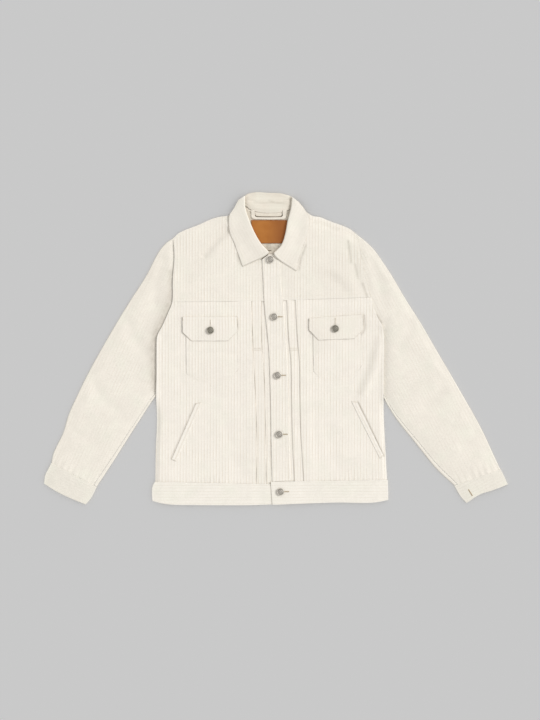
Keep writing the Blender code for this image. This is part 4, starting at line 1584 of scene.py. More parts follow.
@dataclass
class FrontYoke(SidePart):
    """Front yoke, with its shoulder, armhole and chest seams topstitched."""

    pitch: float = 3.0
    rows: tuple = (2.2, 8.6)
    neck_clear: float = 9.0

    def build(self) -> Ply:
        """Make the yoke and its stitches."""
        outline = self.outline
        neck = self._neck()
        top = Line(outline.shoulder).points[::-1]
        top = np.concatenate([top[:-4], [neck[0]]])
        low_y = outline.neck_corner[1][1] - self.neck_clear
        edge = [(x + self.reach, y) for x, y in BUTTON_EDGE if YOKE_SEAM_Y < y < low_y]
        inner = Line(list(neck) + list(outline.neck_corner) + edge, rounded=False)
        arm = arm_line(outline).between(0, outline.yoke_knots - 1)
        seam = Line([outline.armhole[outline.yoke_knots - 1], inner.points[-1]])
        x, y = Patch(Line(top, rounded=False), seam, arm, inner).grid(self.pitch, self.pitch)
        z = self.drape.yoke(outline)(x, y) + self.drape.sewn(x, y)
        # painted shade along its rims
        ply = Ply(np.dstack([x, y, z]), LAYERS.denim_wall).paint_rim_shade({Rim.LOW: 0.45, Rim.END: 0.05})
        self.cloth(ply, "front_yoke_*", Finish.YOKE, Slot.DENIM, "back_yoke")
        self.topstitch("front_yoke_" + self.side, ply, (
            (Rim.END, self.rows, (6.0, 4.0)), (Rim.LOW, self.rows, (3.0, 3.0)),
            (Rim.START, self.pick((2.4,), (9.0, 15.0)), (4.0, 30.0))))
        return ply

    def _neck(self) -> Array:
        """Plan points of the neck seam under the collar leaf."""
        leaf = np.array(self.outline.leaf[1:], float)
        way = leaf[:, 2:] - leaf[:, :2]
        way /= np.linalg.norm(way, axis=1, keepdims=True)
        return leaf[:, :2] + way * (CollarLeaf.stand + LAYERS.seam)


@dataclass
class FrontPanel(SidePart):
    """Front panel with two knife pleats beside the buttons.

    The inner pleat's lowest layer runs on to the buttons.  press is how far the cloth is held
    down at the chest seam, and tucks are the shift and drop of its ends under the seams.
    """

    pitch: float = 3.0
    plan_points: int = 9
    pleat_lap: float = 7.0
    pleat_roll: float = 22.0
    pleat_ease: float = 6.0
    fold_steps: int = 5
    waist_ys: tuple = (-322.0, -315.0)
    yoke_reach: float = 9.0
    press: float = 0.9
    press_fade: float = 12.0
    press_least: float = 2.0
    tucks: tuple = ((3.0, 1.3), (-3.5, 2.0))
    waist_row: float = 3.0
    tack_ys: tuple = (-1.0, -5.5)

    @property
    def outer_top(self) -> float:
        """Height of the outer pleat."""
        return self.pick(5.6, 6.3)

    @property
    def lap(self) -> float:
        """Height of the cloth beside the buttons."""
        return self.drape.lap_mid[self.outline.side]

    @property
    def radius(self) -> float:
        """Radius of the folds to the middle of the cloth."""
        return (LAYERS.denim_wall + 0.02) / 2

    def build(self) -> Ply:
        """Make the panel and its stitches."""
        outline = self.outline
        middle = [(x + self.reach, y) for x, y in BUTTON_EDGE if y < YOKE_SEAM_Y + self.yoke_reach]
        middle[-1] = (middle[-1][0], self.pick(*self.waist_ys))
        arm = arm_line(outline)
        outer, inner = arm.between(outline.yoke_knots - 1, arm.knot_count - 1), Line(middle)
        patch = Patch(Line([outer.points[0], middle[0]]), Line([outer.points[-1], middle[-1]]), outer, inner)
        height = self.drape.panel(outline)
        us = steps(patch.length, self.pitch, (LAYERS.seam, LAYERS.seam))
        paths = [Line(row, rounded=False) for row in patch.at(us, np.linspace(0.0, 1.0, self.plan_points))]
        pleats = [Line(outline.outer_pleat), Line(outline.inner_pleat)]
        parts = steps(max(path.length for path in paths), self.pitch)
        rows = np.array([self._row(path, pleats, parts, height) for path in paths])
        top_y = max(path.points[-1, 1] for path in paths)
        rows[..., 2] -= np.minimum(self.press * ease(1.0 - (top_y - rows[..., 1]) / self.press_fade),
                                   np.maximum(rows[..., 2] - self.press_least, 0.0))
        for rim, (shift, drop) in zip((Rim.START, Rim.END), self.tucks):
            rows = tucked(rows, rim, (0.0, shift), drop)
        ply = Ply(rows[..., :3], LAYERS.denim_wall, probe=(len(rows) // 2, 20))
        # painted shade at the feet of the pleats, a little uneven along them
        ply.fold = np.where(rows[..., 3] > 0, rows[..., 3] * (0.65 + 0.35 * np.sin(rows[..., 1] / 17.0)), 0.0)
        self.cloth(ply, "front_panel_*", Finish.BODY, Slot.DENIM, "back_panel")
        self._sew(ply, patch.end)
        return ply

    def _row(self, path: Line, pleats: Sequence[Line], parts: Array, height: Heights) -> Array:
        """Points of one row from the side to the buttons.

        Args:
            path: the row in plan.
            pleats: the outer and the inner pleat line.
            parts: fractions of the plain stretch.
            height: height rule of the plain stretch.

        Returns:
            Points in the middle of the cloth, with the share of painted shade at each.
        """
        first, second = (self._crossing(path, pleat) for pleat in pleats)
        plain = first - 2 * self.pleat_lap
        s = parts * plain
        x, y = path.place(s).T
        sewn = self.drape.sewn(x, y) * ease((plain - s) / self.pleat_ease)
        z = mix(height(x, y), self.outer_top, ease((s - plain + self.pleat_roll) / self.pleat_roll)) + sewn
        # share of painted shade beside each pleat's fold
        share = self.pick(0.55, 0.1)
        run = [(*point, 0.0) for point in zip(s, z)]
        for crossing, top in ((first, self.outer_top), (second, self.lap + 4 * self.radius)):
            pleat = self._pleat(crossing, top)
            run += [(*point, 0.0) for point in pleat[:3]] + [(*point, share) for point in pleat[3:]]
            run.append((pleat[-1][0] + 1.8, pleat[-1][1], 0.0))
        run += [(mix(second + self.pleat_lap / 2, path.length, i / 6), self.lap, 0.0) for i in range(7)]
        run = np.array(run)
        return np.column_stack([path.place(run[:, 0]), run[:, 1:]])

    @staticmethod
    def _crossing(path: Line, pleat: Line) -> float:
        """Length along a row at which it meets a pleat line.

        Args:
            path: the row in plan.
            pleat: the pleat line.

        Returns:
            The length.
        """
        s = np.linspace(0.0, path.length, 400)
        place = path.place(s)
        way = math.copysign(1.0, place[-1, 0] - place[0, 0])
        return float(np.interp(0.0, way * (place[:, 0] - pleat.x_at(place[:, 1])), s))

    def _pleat(self, s: float, top: float) -> list[Pair]:
        """Middle points of one z-fold: to the edge at s on top, back under, and on below.

        Args:
            s: length at its edge.
            top: height of its top layer.

        Returns:
            Lengths and heights.
        """
        radius, count = self.radius, self.fold_steps
        edge = s - LAYERS.denim_wall / 2 - radius
        root = s - self.pleat_lap + radius
        run = [(s - self.pleat_lap - radius, top), (edge - 1.2, top + 0.06), (edge, top)]
        run += half_turn(edge, top, radius, -radius, count)
        run += [(edge, top - 2 * radius), (root, top - 2 * radius)]
        run += half_turn(root, top - 2 * radius, -radius, -radius, count)
        return run + [(root, top - 4 * radius), (s + radius, top - 4 * radius)]

    def _sew(self, ply: Ply, waist: Line) -> None:
        """Topstitch the waist seam, the flank, the pleats and their tacks.

        Args:
            ply: the panel.
            waist: the waist seam in plan.
        """
        sewing = Sewing("front_panel_" + self.side)
        sewing.add(ply.drop(trimmed(waist.moved(0.0, self.waist_row).points, (5.0, 44.0))))
        sewing.rows(ply, Rim.LOW, (4.0,), (8.0, 8.0))
        away = self.outline.sign
        outer, inner = Line(self.outline.outer_pleat), Line(self.outline.inner_pleat)
        for pleat in (outer, inner):
            sewing.add(ply.drop(pleat.moved(away * 1.9).at(np.linspace(0.02, 0.985, 160))))
        for y in self.tack_ys:
            low, high = sorted((outer.x_at(y) + away * 2.0, inner.x_at(y) - away * 1.0))
            sewing.tack(ply, low, y, high, y)
        sewing.lay(self.wardrobe)


@dataclass
class Placket(Part):
    """Strip along the buttonholes, on the left front."""

    pitch: float = 2.6
    top: tuple = ((-32, 209), (-18, 219), (-5, 213), (9, 204))

    def build(self) -> Ply:
        """Make the strip and its stitches."""
        left = Line([self.top[0]] + BUTTON_EDGE[1:])
        right = Line([self.top[-1]] + PLACKET_STITCH[1:])
        patch = Patch(Line(self.top), Line([BUTTON_EDGE[-1], PLACKET_STITCH[-1]]), left, right)
        x, y = patch.grid(self.pitch, self.pitch)
        mid = self.drape.lap_mid[Side.LEFT] + LAYERS.ply_step
        wave = Pucker(right, 0.13, 8.0, 7.0, 0.4, ridge=0.15).height_at(x, y)
        wave += Pucker(left, 0.22, 23.0, 6.0, 1.9).height_at(x, y)
        z = mid + np.maximum(wave, -0.2) + 0.12 * np.sin(y / 23.0 + 0.8 * np.sin(x / 9.0))
        # painted shade along its rims
        ply = Ply(np.dstack([x, y, z]), LAYERS.denim_wall).paint_rim_shade({Rim.LOW: 0.6})
        self.wardrobe.cloth(ply, "placket", Finish.BODY, Slot.DENIM, ["front_panel_left"])
        self.topstitch("placket", ply, ((Rim.HIGH, (2.2, 6.6)), (Rim.LOW, (2.6,))))
        return ply


@dataclass
class FrontWaistband(SidePart):
    """Front half of the waistband; the left one laps over the right one at the button."""

    pitch: float = 3.0
    row_pitch: float = 2.4
    crown: float = 0.9
    lap_fade: float = 40.0
    lap_in: float = 4.0
    seam_ys: tuple = (-322.4, -315.4)
    hem_ys: tuple = (-367.0, -370.0)

    def build(self) -> Ply:
        """Make the band and its stitches."""
        side = Line(self.outline.waist_side)
        end_x = BUTTON_EDGE[-1][0]
        lap_x = end_x + LAYERS.lap_width
        seam_y, hem_y = self.pick(*self.seam_ys), self.pick(*self.hem_ys)
        if self.outline.side is Side.RIGHT:
            hem = Line([p for p in HEM if p[0] < end_x] + [(lap_x - self.lap_in, hem_y)])
            seam = Line([self.outline.waist_side[0], (lap_x - self.lap_in, seam_y)])
            patch = Patch(seam, hem, side, Line([seam.points[-1], hem.points[-1]]))
        else:
            hem = Line([(end_x, hem_y)] + [p for p in HEM if p[0] > end_x])
            seam = Line([(end_x - self.lap_in, seam_y), self.outline.waist_side[0]])
            patch = Patch(seam, hem, Line([seam.points[0], hem.points[0]]), side)
        x, y = patch.grid(self.row_pitch, self.pitch)
        z = self._height(x, y, side, end_x, lap_x)
        for rim, phase in ((seam, 0.3), (hem, 2.0)):
            z = z + Pucker(rim, 0.11, 9.0, 7.0, phase).height_at(x, y)
        # painted shade along its rims
        ply = Ply(np.dstack([x, y, z]), LAYERS.band_wall, ACROSS).paint_rim_shade({Rim.START: 0.28})
        self.cloth(ply, "waistband_front_*", Finish.BAND, Slot.BAND, "waistband_back")
        self.topstitch("waistband_front_" + self.side, ply, (
            (Rim.START, (2.6,)), (Rim.END, (2.8,)), (self.pick(Rim.HIGH, Rim.LOW), (2.8,))), slot=Slot.BAND)
        return ply

    def _height(self, x: Array, y: Array, side: Line, end_x: float, lap_x: float) -> Array:
        """Middle height of the band at places.

        Args:
            x: first coordinates.
            y: second coordinates.
            side: the band's side edge.
            end_x: where the left front ends.
            lap_x: where the right front ends under it.

        Returns:
            Heights.
        """
        lower = LAYERS.band * 1.5 + 2 * LAYERS.seam + (LAYERS.band - LAYERS.band_wall)
        away, _ = side.near(x, y)
        if self.outline.side is Side.RIGHT:
            away = np.minimum(away, np.maximum(end_x - LAYERS.roll - x, 0.0))
            return lower + self.crown * ease(away / LAYERS.roll)
        plain = lower + self.crown * ease(away / LAYERS.roll)
        return mix(lower + LAYERS.band_wall + LAYERS.close, plain, ease((x - lap_x - 2.0) / self.lap_fade))


@dataclass
class Buttonhole:
    """A corded slit: thread sewn across round a narrow opening, with painted shade down the slit."""

    length: float = 15.0
    width: float = 2.0
    # width of the painted shade line in the slit
    slit: float = 0.7

    def sew(self, ply: Ply, sewing: Sewing, shade: Sewing, start: Pair, angle: float) -> None:
        """Sew it on a piece of cloth.

        Args:
            ply: the cloth.
            sewing: thread that it adds to.
            shade: stitches that lay a line of painted shade in the slit.
            start: where it starts.
            angle: degrees from +X that it runs.
        """
        way = np.array([math.cos(math.radians(angle)), math.sin(math.radians(angle))])
        side = np.array([-way[1], way[0]])
        half = self.width / 2
        bend = [(self.length + half * math.sin(a), half * math.cos(a)) for a in np.linspace(0.3, math.pi - 0.3, 5)]
        loop = [(0.0, half), (self.length, half)] + bend + [(self.length, -half), (0.0, -half)]
        plan = np.array([start + way * along + side * off for along, off in loop])
        sewing.add(ply.drop(trimmed(plan, pitch=0.45), 0.05), EYELET)
        # painted shade down the middle of the slit
        line = np.array([start + way * along for along in (0.0, self.length)])
        style = StitchStyle(pitch=0.7, length=1.4, width=self.slit, rise=0.5)
        shade.add(ply.drop(trimmed(line, pitch=0.5), 0.12), style)


@dataclass
class ShankButton:
    """Turned metal button on its shank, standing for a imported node.

    profile holds rings from the shank up: radius, height over the node's foot and share of rubbing.
    """

    wardrobe: Wardrobe
    node: str
    finish: Finish = Finish.METAL
    sides: int = 40
    profile: tuple = ((3.5, -0.5, 0.1), (3.5, 1.5, 0.1), (7.7, 1.6, 0.3), (8.35, 1.85, 0.6), (8.65, 2.3, 0.8),
                      (8.6, 2.8, 0.9), (8.25, 3.25, 1.0), (7.6, 3.45, 1.0), (7.0, 3.35, 0.7), (6.6, 3.0, 0.1),
                      (6.1, 2.85, 0.0), (5.5, 2.95, 0.1), (5.0, 3.25, 0.6), (4.3, 3.42, 0.8), (3.3, 3.5, 0.55),
                      (2.7, 3.38, 0.2), (2.2, 3.42, 0.4), (1.2, 3.6, 0.7))
    tip: tuple = (0.0, 3.66, 0.8)
    foot: tuple = (0.0, -0.5, 0.1)

    def build(self) -> None:
        """Make the button where its node is."""
        low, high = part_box(self.node)
        middle = (low + high) / 2 / MM
        rings = [(ring, 2 * math.pi * i / self.sides) for ring in self.profile for i in range(self.sides)]
        rings += [(self.tip, 0.0), (self.foot, 0.0)]
        corners = [(middle.x + ring[0] * math.cos(a), middle.y + ring[0] * math.sin(a), low.z / MM + ring[1])
                   for ring, a in rings]
        top = (len(self.profile) - 1) * self.sides
        tip, foot = len(corners) - 2, len(corners) - 1
        faces = []
        for i in range(self.sides):
            after = (i + 1) % self.sides
            for a, b in ((ring + i, ring + after) for ring in range(0, top, self.sides)):
                faces.append((a, b, b + self.sides, a + self.sides))
            faces += [(top + i, top + after, tip), (after, i, foot)]
        piece = mesh_piece(self.node + "_metal", corners, faces)
        lay_values(piece.data, RIM_NAME, [ring[2] for ring, _ in rings])
        self.wardrobe.place(piece, self.finish, Slot.METAL, [self.node])


@dataclass
class ChestPocket(SidePart):
    """Patch pocket with its flap, buttonhole and button."""

    pitch: float = 2.6
    swell: float = 0.35
    swell_roll: float = 16.0
    sink_fade: float = 50.0
    rows: tuple = (2.0, 7.5)
    flap_row: float = 2.2
    hole_up: float = 9.0
    tack: tuple = (1.5, 8.5, 2.0)

    def build(self) -> None:
        """Make the pocket, the flap and what is sewn on them."""
        pocket = self._on_front(self.outline.pocket, 0.0, LAYERS.denim_wall, 0.10, 0.9)
        # painted shade along its rims
        pocket.paint_rim_shade({Rim.LOW: 0.7, Rim.HIGH: 0.7, Rim.END: 0.15})
        self.cloth(pocket, "chest_pocket_*", Finish.BODY, Slot.DENIM, "front_panel_*")
        flap = self._on_front(self.outline.flap, LAYERS.ply_step, LAYERS.band_wall, 0.25, 0.0)
        # painted shade along its rims
        flap.paint_rim_shade({Rim.LOW: 0.8, Rim.HIGH: 1.0, Rim.END: 0.9, Rim.START: 0.4})
        self.cloth(flap, "flap_*", self.pick(Finish.BODY, Finish.YOKE), Slot.BAND, "chest_pocket_*")
        sewing = Sewing("chest_pocket_" + self.side)
        near, far = self.rows
        for rim, end in ((Rim.LOW, near), (Rim.HIGH, near), (Rim.END, far)):
            sewing.rows(pocket, rim, self.rows, (end, end))
        ends = self.flap_row, self.flap_row
        for rim, away in (*((rim, self.flap_row) for rim in Rim), (Rim.START, far)):
            sewing.rows(flap, rim, (away,), ends)
        # painted shade in the flap's buttonhole slit
        shade = Sewing("flap_slit_" + self.side, Finish.BUTTONHOLE_SHADE)
        eye = Sewing("flap_eye_" + self.side)
        x, y = self.outline.flap_button
        Buttonhole(length=16.0, width=1.4).sew(flap, eye, shade, (x, y + self.hole_up), 90.0)
        inside, low, high = self.tack
        for corner_x, corner_y in self.outline.flap[:2]:
            tack_x = corner_x + math.copysign(inside, x - corner_x)
            sewing.tack(flap, tack_x, corner_y - low, tack_x, corner_y - high)
        for made in (sewing, eye, shade):
            made.lay(self.wardrobe)
        ShankButton(self.wardrobe, "flap_button_" + self.side, Finish.FLAP_METAL).build()

    def _on_front(self, outline: Points, under: float, thickness: float, ripple: float, sink: float) -> Ply:
        """Six-cornered piece on the front: top edge, sides and cut-off lower corners.

        Args:
            outline: its corners in plan.
            under: thickness of what lies between it and the front.
            thickness: its own thickness.
            ripple: height of the ripples along its rim.
            sink: how far its lower edge is pressed into the front.

        Returns:
            The piece.
        """
        top_a, top_b, side_b, low_b, low_a, side_a = outline
        patch = Patch(Line([top_a, top_b]), Line([low_a, low_b]), Line([top_a, side_a, low_a], rounded=False),
                      Line([top_b, side_b, low_b], rounded=False))
        x, y = patch.grid(self.pitch, self.pitch)
        z = self.drape.panel(self.outline)(x, y) + LAYERS.ply_step + under + (thickness - LAYERS.denim_wall) / 2
        z += np.maximum(self.drape.sewn(x, y), 0.0)
        away, along = Line([*outline, outline[0]], rounded=False).near(x, y)
        z += self.swell * ease(away / self.swell_roll) + ripple * 0.5 * np.sin(along / 1.4) * bell(away, 6.0)
        z -= sink * ease((low_a[1] + self.sink_fade - y) / self.sink_fade)
        return Ply(np.dstack([x, y, z]), thickness)


@dataclass
class HandPocket(SidePart):
    """Slanted welt of a hand pocket."""

    pitches: tuple = (2.4, 1.8)

    def build(self) -> None:
        """Make the welt and its tacks."""
        top_a, _, _, low_a = self.outline.welt
        x, y = Patch.corners(*self.outline.welt).grid(*self.pitches)
        z = self.drape.panel(self.outline)(x, y) + LAYERS.ply_step
        z += self.drape.sewn(x, y) + 0.10 * np.sin(y / 1.7 + x / 3.0)
        grain = math.degrees(math.atan2(top_a[0] - low_a[0], top_a[1] - low_a[1]))
        ply = Ply(np.dstack([x, y, z]), LAYERS.denim_wall, -grain)
        inner, outer = self.pick((Rim.HIGH, Rim.LOW), (Rim.LOW, Rim.HIGH))
        # painted shade along its rims
        ply.paint_rim_shade({Rim.START: 0.5, Rim.END: 0.5, inner: 0.1, outer: 0.9})
        self.cloth(ply, "welt_*", Finish.BODY, Slot.BAND, "front_panel_*")
        sewing = Sewing("welt_" + self.side, slot=Slot.BAND)
        sewing.rows(ply, inner, (2.0,))
        for rim in (Rim.START, Rim.END):
            sewing.add(ply.beside(rim, 1.8, (0.8, 0.8)), BARTACK)
        sewing.lay(self.wardrobe)


@dataclass
class Sleeve(SidePart):
    """Two-piece sleeve and its cuff: the top piece wraps the outer fold, the under piece the inner fold.

    near_hole and near_cuff are how close to those seams a row bends with them.
    """

    pitch: float = 3.0
    columns: int = 96
    under_columns: int = 22
    fold_radius: float = 1.5
    fold_steps: int = 6
    lap: float = 14.0
    seam_in: float = 8.0
    crown: float = 1.6
    waves: float = 1.25
    roll: float = 32.0
    clear: float = 0.5
    hollow: float = 2.0
    hollow_reach: float = 9.0
    armhole_hollow: float = 1.5
    armhole_reach: float = 7.0
    hole_swell: float = 0.35
    hole_fade: float = 16.0
    plan_points: int = 60
    near_hole: float = 40.0
    near_cuff: float = 45.0
    tuck: float = 3.2
    tuck_drops: tuple = (0.6, 2.2)
    cuff_pitches: tuple = (2.2, 2.4)
    cuff_swell: float = 1.0
    under_pitch: float = 9.0
    slit_at: tuple = (454.0, -334.0)
    slit_turn: float = -58.0

    def build(self) -> None:
        """Make the sleeve, the cuff and their stitches."""
        outline, sign, tuck = self.outline, self.outline.sign, self.tuck
        arm = arm_line(outline)
        last = len(outline.armhole) - 1
        armhole = arm.between(0, last)
        hidden = arm.between(last, last - 1 + len(outline.hidden)).moved(sign * self.clear)
        start = Line(np.concatenate([armhole.points[:-3], hidden.points]), rounded=False)
        inner = Line([hidden.points[-1], *outline.sleeve_inner])
        outer = Line(outline.sleeve_outer)
        patch = Patch(start, Line([outer.points[-1], inner.points[-1]]), outer, inner)
        us = steps(patch.length, self.pitch, (2 * LAYERS.seam, 0.0))
        plan = patch.at(us, np.linspace(0.0, 1.0, self.plan_points))
        tops, unders = zip(*(self._row(Line(row, rounded=False), hidden) for row in plan))
        grain = self._grain()
        angle = math.radians(grain)
        upper = tucked(np.array(tops), Rim.START, (-tuck * sign, 0.0), self.tuck_drops[0])
        upper = tucked(upper, Rim.END, (tuck * math.sin(angle), -tuck * math.cos(angle)), self.tuck_drops[1])
        top = Ply(upper, LAYERS.denim_wall, grain)
        under = Ply(np.array(unders), LAYERS.denim_wall, grain, facing=-1.0)
        self.cloth(top, "top_sleeve_*", Finish.SLEEVE, Slot.DENIM, "under_sleeve_*")
        self.cloth(under, "under_sleeve_*", Finish.SLEEVE, Slot.DENIM)
        self.topstitch("sleeve_" + self.side, top, ((Rim.HIGH, (1.8,), (12.0, 3.0)),))
        self._cuff(grain)

    def _grain(self) -> float:
        """Degrees that the stripes run from +Y towards -X, down the sleeve's middle."""
        outer, inner = self.outline.sleeve_outer, self.outline.sleeve_inner
        x = (outer[-1][0] + inner[-1][0]) / 2 - (outer[3][0] + self.outline.flank[0][0]) / 2
        y = (outer[-1][1] + inner[-1][1]) / 2 - (outer[3][1] + self.outline.flank[0][1]) / 2
        return math.degrees(math.atan2(x, -y))

    def _row(self, path: Line, hidden: Line) -> tuple[Array, Array]:
        """Points of the top and the under piece in one row from the outer to the inner fold.

        Args:
            path: the row in plan.
            hidden: the flank that it lies beside.

        Returns:
            Points of the two pieces.
        """
        width, low, radius, count = path.length, LAYERS.back, self.fold_radius, self.fold_steps
        turn = radius + LAYERS.denim / 2
        over = low + 2 * radius
        seam = width - self.seam_in
        s = np.linspace(turn + 1.2, seam - LAYERS.seam - 0.7, self.columns)
        x, y = path.place(s).T
        z = self._height(x, y, s, width, hidden)
        top = [(turn + self.lap, low), (turn + self.lap / 2, low), (turn, low)]
        top += half_turn(turn, low, -radius, radius, count)
        top += [(turn, over)] + list(zip(s, z)) + [(seam - LAYERS.seam, z[-1])]
        flat = np.linspace(turn + self.lap + LAYERS.seam, width - turn, self.under_columns)
        under = [(value, low) for value in flat] + half_turn(width - turn, low, radius, radius, count)
        wave = 0.1 * math.sin(float(y[-1]) / 1.9)
        under += [(width - turn, over), (width - turn - 2.0, over + wave), (seam + 0.7, over + wave), (seam, over)]
        return tuple(np.column_stack([path.place(run[:, 0]), run[:, 1]]) for run in map(np.array, (top, under)))

    def _height(self, x: Array, y: Array, s: Array, width: float, hidden: Line) -> Array:
        """Height of the top piece's middle at places of one row.

        Args:
            x: first coordinates.
            y: second coordinates.
            s: lengths along the row.
            width: length of the row.
            hidden: the flank that it lies beside.

        Returns:
            Heights.
        """
        over = LAYERS.back + 2 * self.fold_radius
        away, _ = hidden.near(x, y)
        trough = sum(crease.depth_at(x, y) for crease in self.drape.sleeve_creases)
        swell = self.crown - trough + self.waves * self.drape.undulation(x, y)
        z = over + swell * ease(s / self.roll) * ease((width - s) / self.roll) * ease(away / self.roll)
        z -= self.hollow * bell(away, self.hollow_reach)
        hole = Line(self.outline.armhole)
        clear = hole.near(x, y)[0]
        if clear.min() < self.near_hole:
            z = over + (z - over) * mix(self.hole_swell, 1.0, ease(clear / self.hole_fade))
            ripple = self.pick(0.22, 0.42)
            z += Pucker(hole, ripple, 11.0, 11.0, 0.7).height_at(x, y) * ease(away / 8.0)
            if self.outline.side is Side.RIGHT:
                z -= self.armhole_hollow * bell(clear, self.armhole_reach) * ease(away / 12.0)
        cuff = Line([self.outline.cuff_outer[0], self.outline.cuff_inner[0]])
        if cuff.near(x, y)[0].min() < self.near_cuff:
            z += Pucker(cuff, 0.42, 15.0, 20.0, 1.1).height_at(x, y)
        return z + 0.13 * np.sin((y + 0.4 * x) / 1.9) * bell(width - s - self.seam_in, 7.0)

    def _cuff(self, grain: float) -> None:
        """Upper and under layer of the cuff, with its stitches and its slit.

        Args:
            grain: degrees that the sleeve's stripes are turned.
        """
        outline = self.outline
        seam, hem = Line([outline.cuff_outer[0], outline.cuff_inner[0]]), Line(outline.cuff_hem)
        outer, inner = Line(outline.cuff_outer), Line(outline.cuff_inner)
        patch = Patch(seam, hem, outer, inner)
        x, y = patch.grid(*self.cuff_pitches, (LAYERS.seam, 0.0))
        away = np.minimum(outer.near(x, y)[0], inner.near(x, y)[0])
        z = LAYERS.band * 1.5 + LAYERS.seam + self.cuff_swell * ease(away / LAYERS.roll)
        for rim, phase in ((seam, 0.2), (hem, 1.4)):
            z = z + Pucker(rim, 0.13, 8.0, 7.0, phase).height_at(x, y)
        # painted shade along its rims
        upper = Ply(np.dstack([x, y, z]), LAYERS.band_wall, grain + ACROSS).paint_rim_shade({Rim.START: 0.1})
        x, y = patch.grid(self.under_pitch, self.under_pitch, (LAYERS.seam, 0.0))
        under = Ply(np.dstack([x, y, 0 * x + LAYERS.band / 2]), LAYERS.band, grain + ACROSS, facing=-1.0)
        self.cloth(upper, "cuff_*_upper", Finish.CUFF, Slot.BAND, "cuff_*_under")
        self.cloth(under, "cuff_*_under", Finish.CUFF, Slot.BAND)
        if self.outline.side is Side.LEFT:
            # painted shade in the cuff's buttonhole slit
            shade = Sewing("cuff_slit", Finish.CUFF_SLIT, Slot.BAND)
            eye = Sewing("cuff_eye", Finish.BEIGE_THREAD, Slot.BAND)
            Buttonhole(length=17.0, slit=1.2).sew(upper, eye, shade, self.slit_at, self.slit_turn)
            eye.lay(self.wardrobe)
            shade.lay(self.wardrobe)
        self.topstitch("cuff_" + self.side, upper, ((Rim.START, (2.4,)), (Rim.END, (2.6,))), slot=Slot.BAND)


@dataclass
class CollarLeaf(SidePart):
    """Collar leaf: up from the neck seam, round the neck fold, and down on the yoke.

    levels are how high the leaf lies on each side; the left one rises by lapped where the fronts
    overlap, from lap_x on.  lean above 0 and below 1 moves the bow towards the fold.
    """

    stand: float = 12.0
    roll: float = 2.0
    leaf_roll: float = 34.0
    fold_steps: int = 8
    columns: int = 22
    per: int = 9
    bowed_rows: int = 14
    levels: tuple = (6.5, 6.15)
    lapped: float = 0.7
    lap_x: float = 22.0
    lap_fade: float = 30.0
    lean: float = 0.43
    free_sink: float = 0.45

    @property
    def bow(self) -> Array:
        """How far the leaf's lower edge bulges in plan."""
        return np.array(self.pick((3.0, -5.0), (-5.6, -6.1)))

    def build(self) -> None:
        """Make the leaf and its stitches."""
        fold, free = (rail(self.outline.leaf, first, self.per) for first in (0, 2))
        last = len(fold.points) - 1
        rows = []
        for number, (near, far) in enumerate(zip(fold.points, free.points)):
            path = Line([near, far])
            run = np.array(self._run(path, float(self.drape.back(*near)) + LAYERS.front_rise))
            part = np.clip(run[:, 0] / path.length, 0.0, 1.0)
            part[:3] = 0.0
            share = float(ease(1.0 - (last - number) / self.bowed_rows)) * np.sin(math.pi * part**self.lean)
            rows.append(np.column_stack([path.place(run[:, 0]) + share[:, None] * self.bow, run[:, 1]]))
        mids = np.array(rows)
        x, y = mids[..., 0], mids[..., 1]
        away, along = free.near(x, y)
        upper = ease((np.arange(mids.shape[1]) - self.fold_steps - 3) / 6.0)[None, :]
        wave = 0.12 * np.sin(along / 1.5) * bell(away, 6.0) + 0.18 * np.sin(x / 13.0 + y / 19.0)
        mids[..., 2] += (wave + self.drape.undulation(x, y)) * upper
        mids[..., 2] -= self.free_sink * bell(away, 4.0) * upper
        near_x, near_y, far_x, far_y = self.outline.leaf[3]
        grain = math.degrees(math.atan2(far_x - near_x, near_y - far_y)) + ACROSS
        ply = Ply(mids, LAYERS.leaf_wall, grain, probe=(len(rows) // 2, mids.shape[1] - 3))
        # painted shade along its rims
        ply.paint_rim_shade({Rim.HIGH: 0.7, Rim.END: self.pick(0.4, 0.1)})
        self.cloth(ply, "collar_leaf_*", Finish.COLLAR, Slot.BAND, "front_yoke_*")
        self.topstitch("collar_leaf_" + self.side, ply, (
            (Rim.HIGH, (2.2, 8.0), (2.0, 3.0)), (Rim.END, (2.2, 8.0), (self.stand + 9.0, 3.0))), slot=Slot.BAND)

    def _run(self, path: Line, stand: float) -> list[Pair]:
        """Lengths and heights of one row, from the neck seam round the fold to the free edge.

        Args:
            path: the row in plan, from the fold out.
            stand: height of the stand's middle.

        Returns:
            Lengths from the fold, and heights.
        """
        turn = self.roll + LAYERS.leaf_wall / 2
        crest = stand + 2 * self.roll
        run = [(self.stand, stand), ((self.stand + turn) / 2, stand), (turn, stand)]
        run += half_turn(turn, stand, -self.roll, self.roll, self.fold_steps)
        run.append((turn, crest))
        reach = path.length - turn
        for part in steps(reach, (reach - 1.4) / self.columns * 1.001)[1:]:
            s = turn + part * reach
            x, y = path.place(s)
            over = self.pick(0.0, float(ease((self.lap_x - x) / self.lap_fade)))
            level = self.pick(*self.levels) + self.lapped * over + float(self.drape.back(x, y)) - LAYERS.back
            run.append((s, float(mix(crest, level, ease((s - turn) / self.leaf_roll)))))
        return run


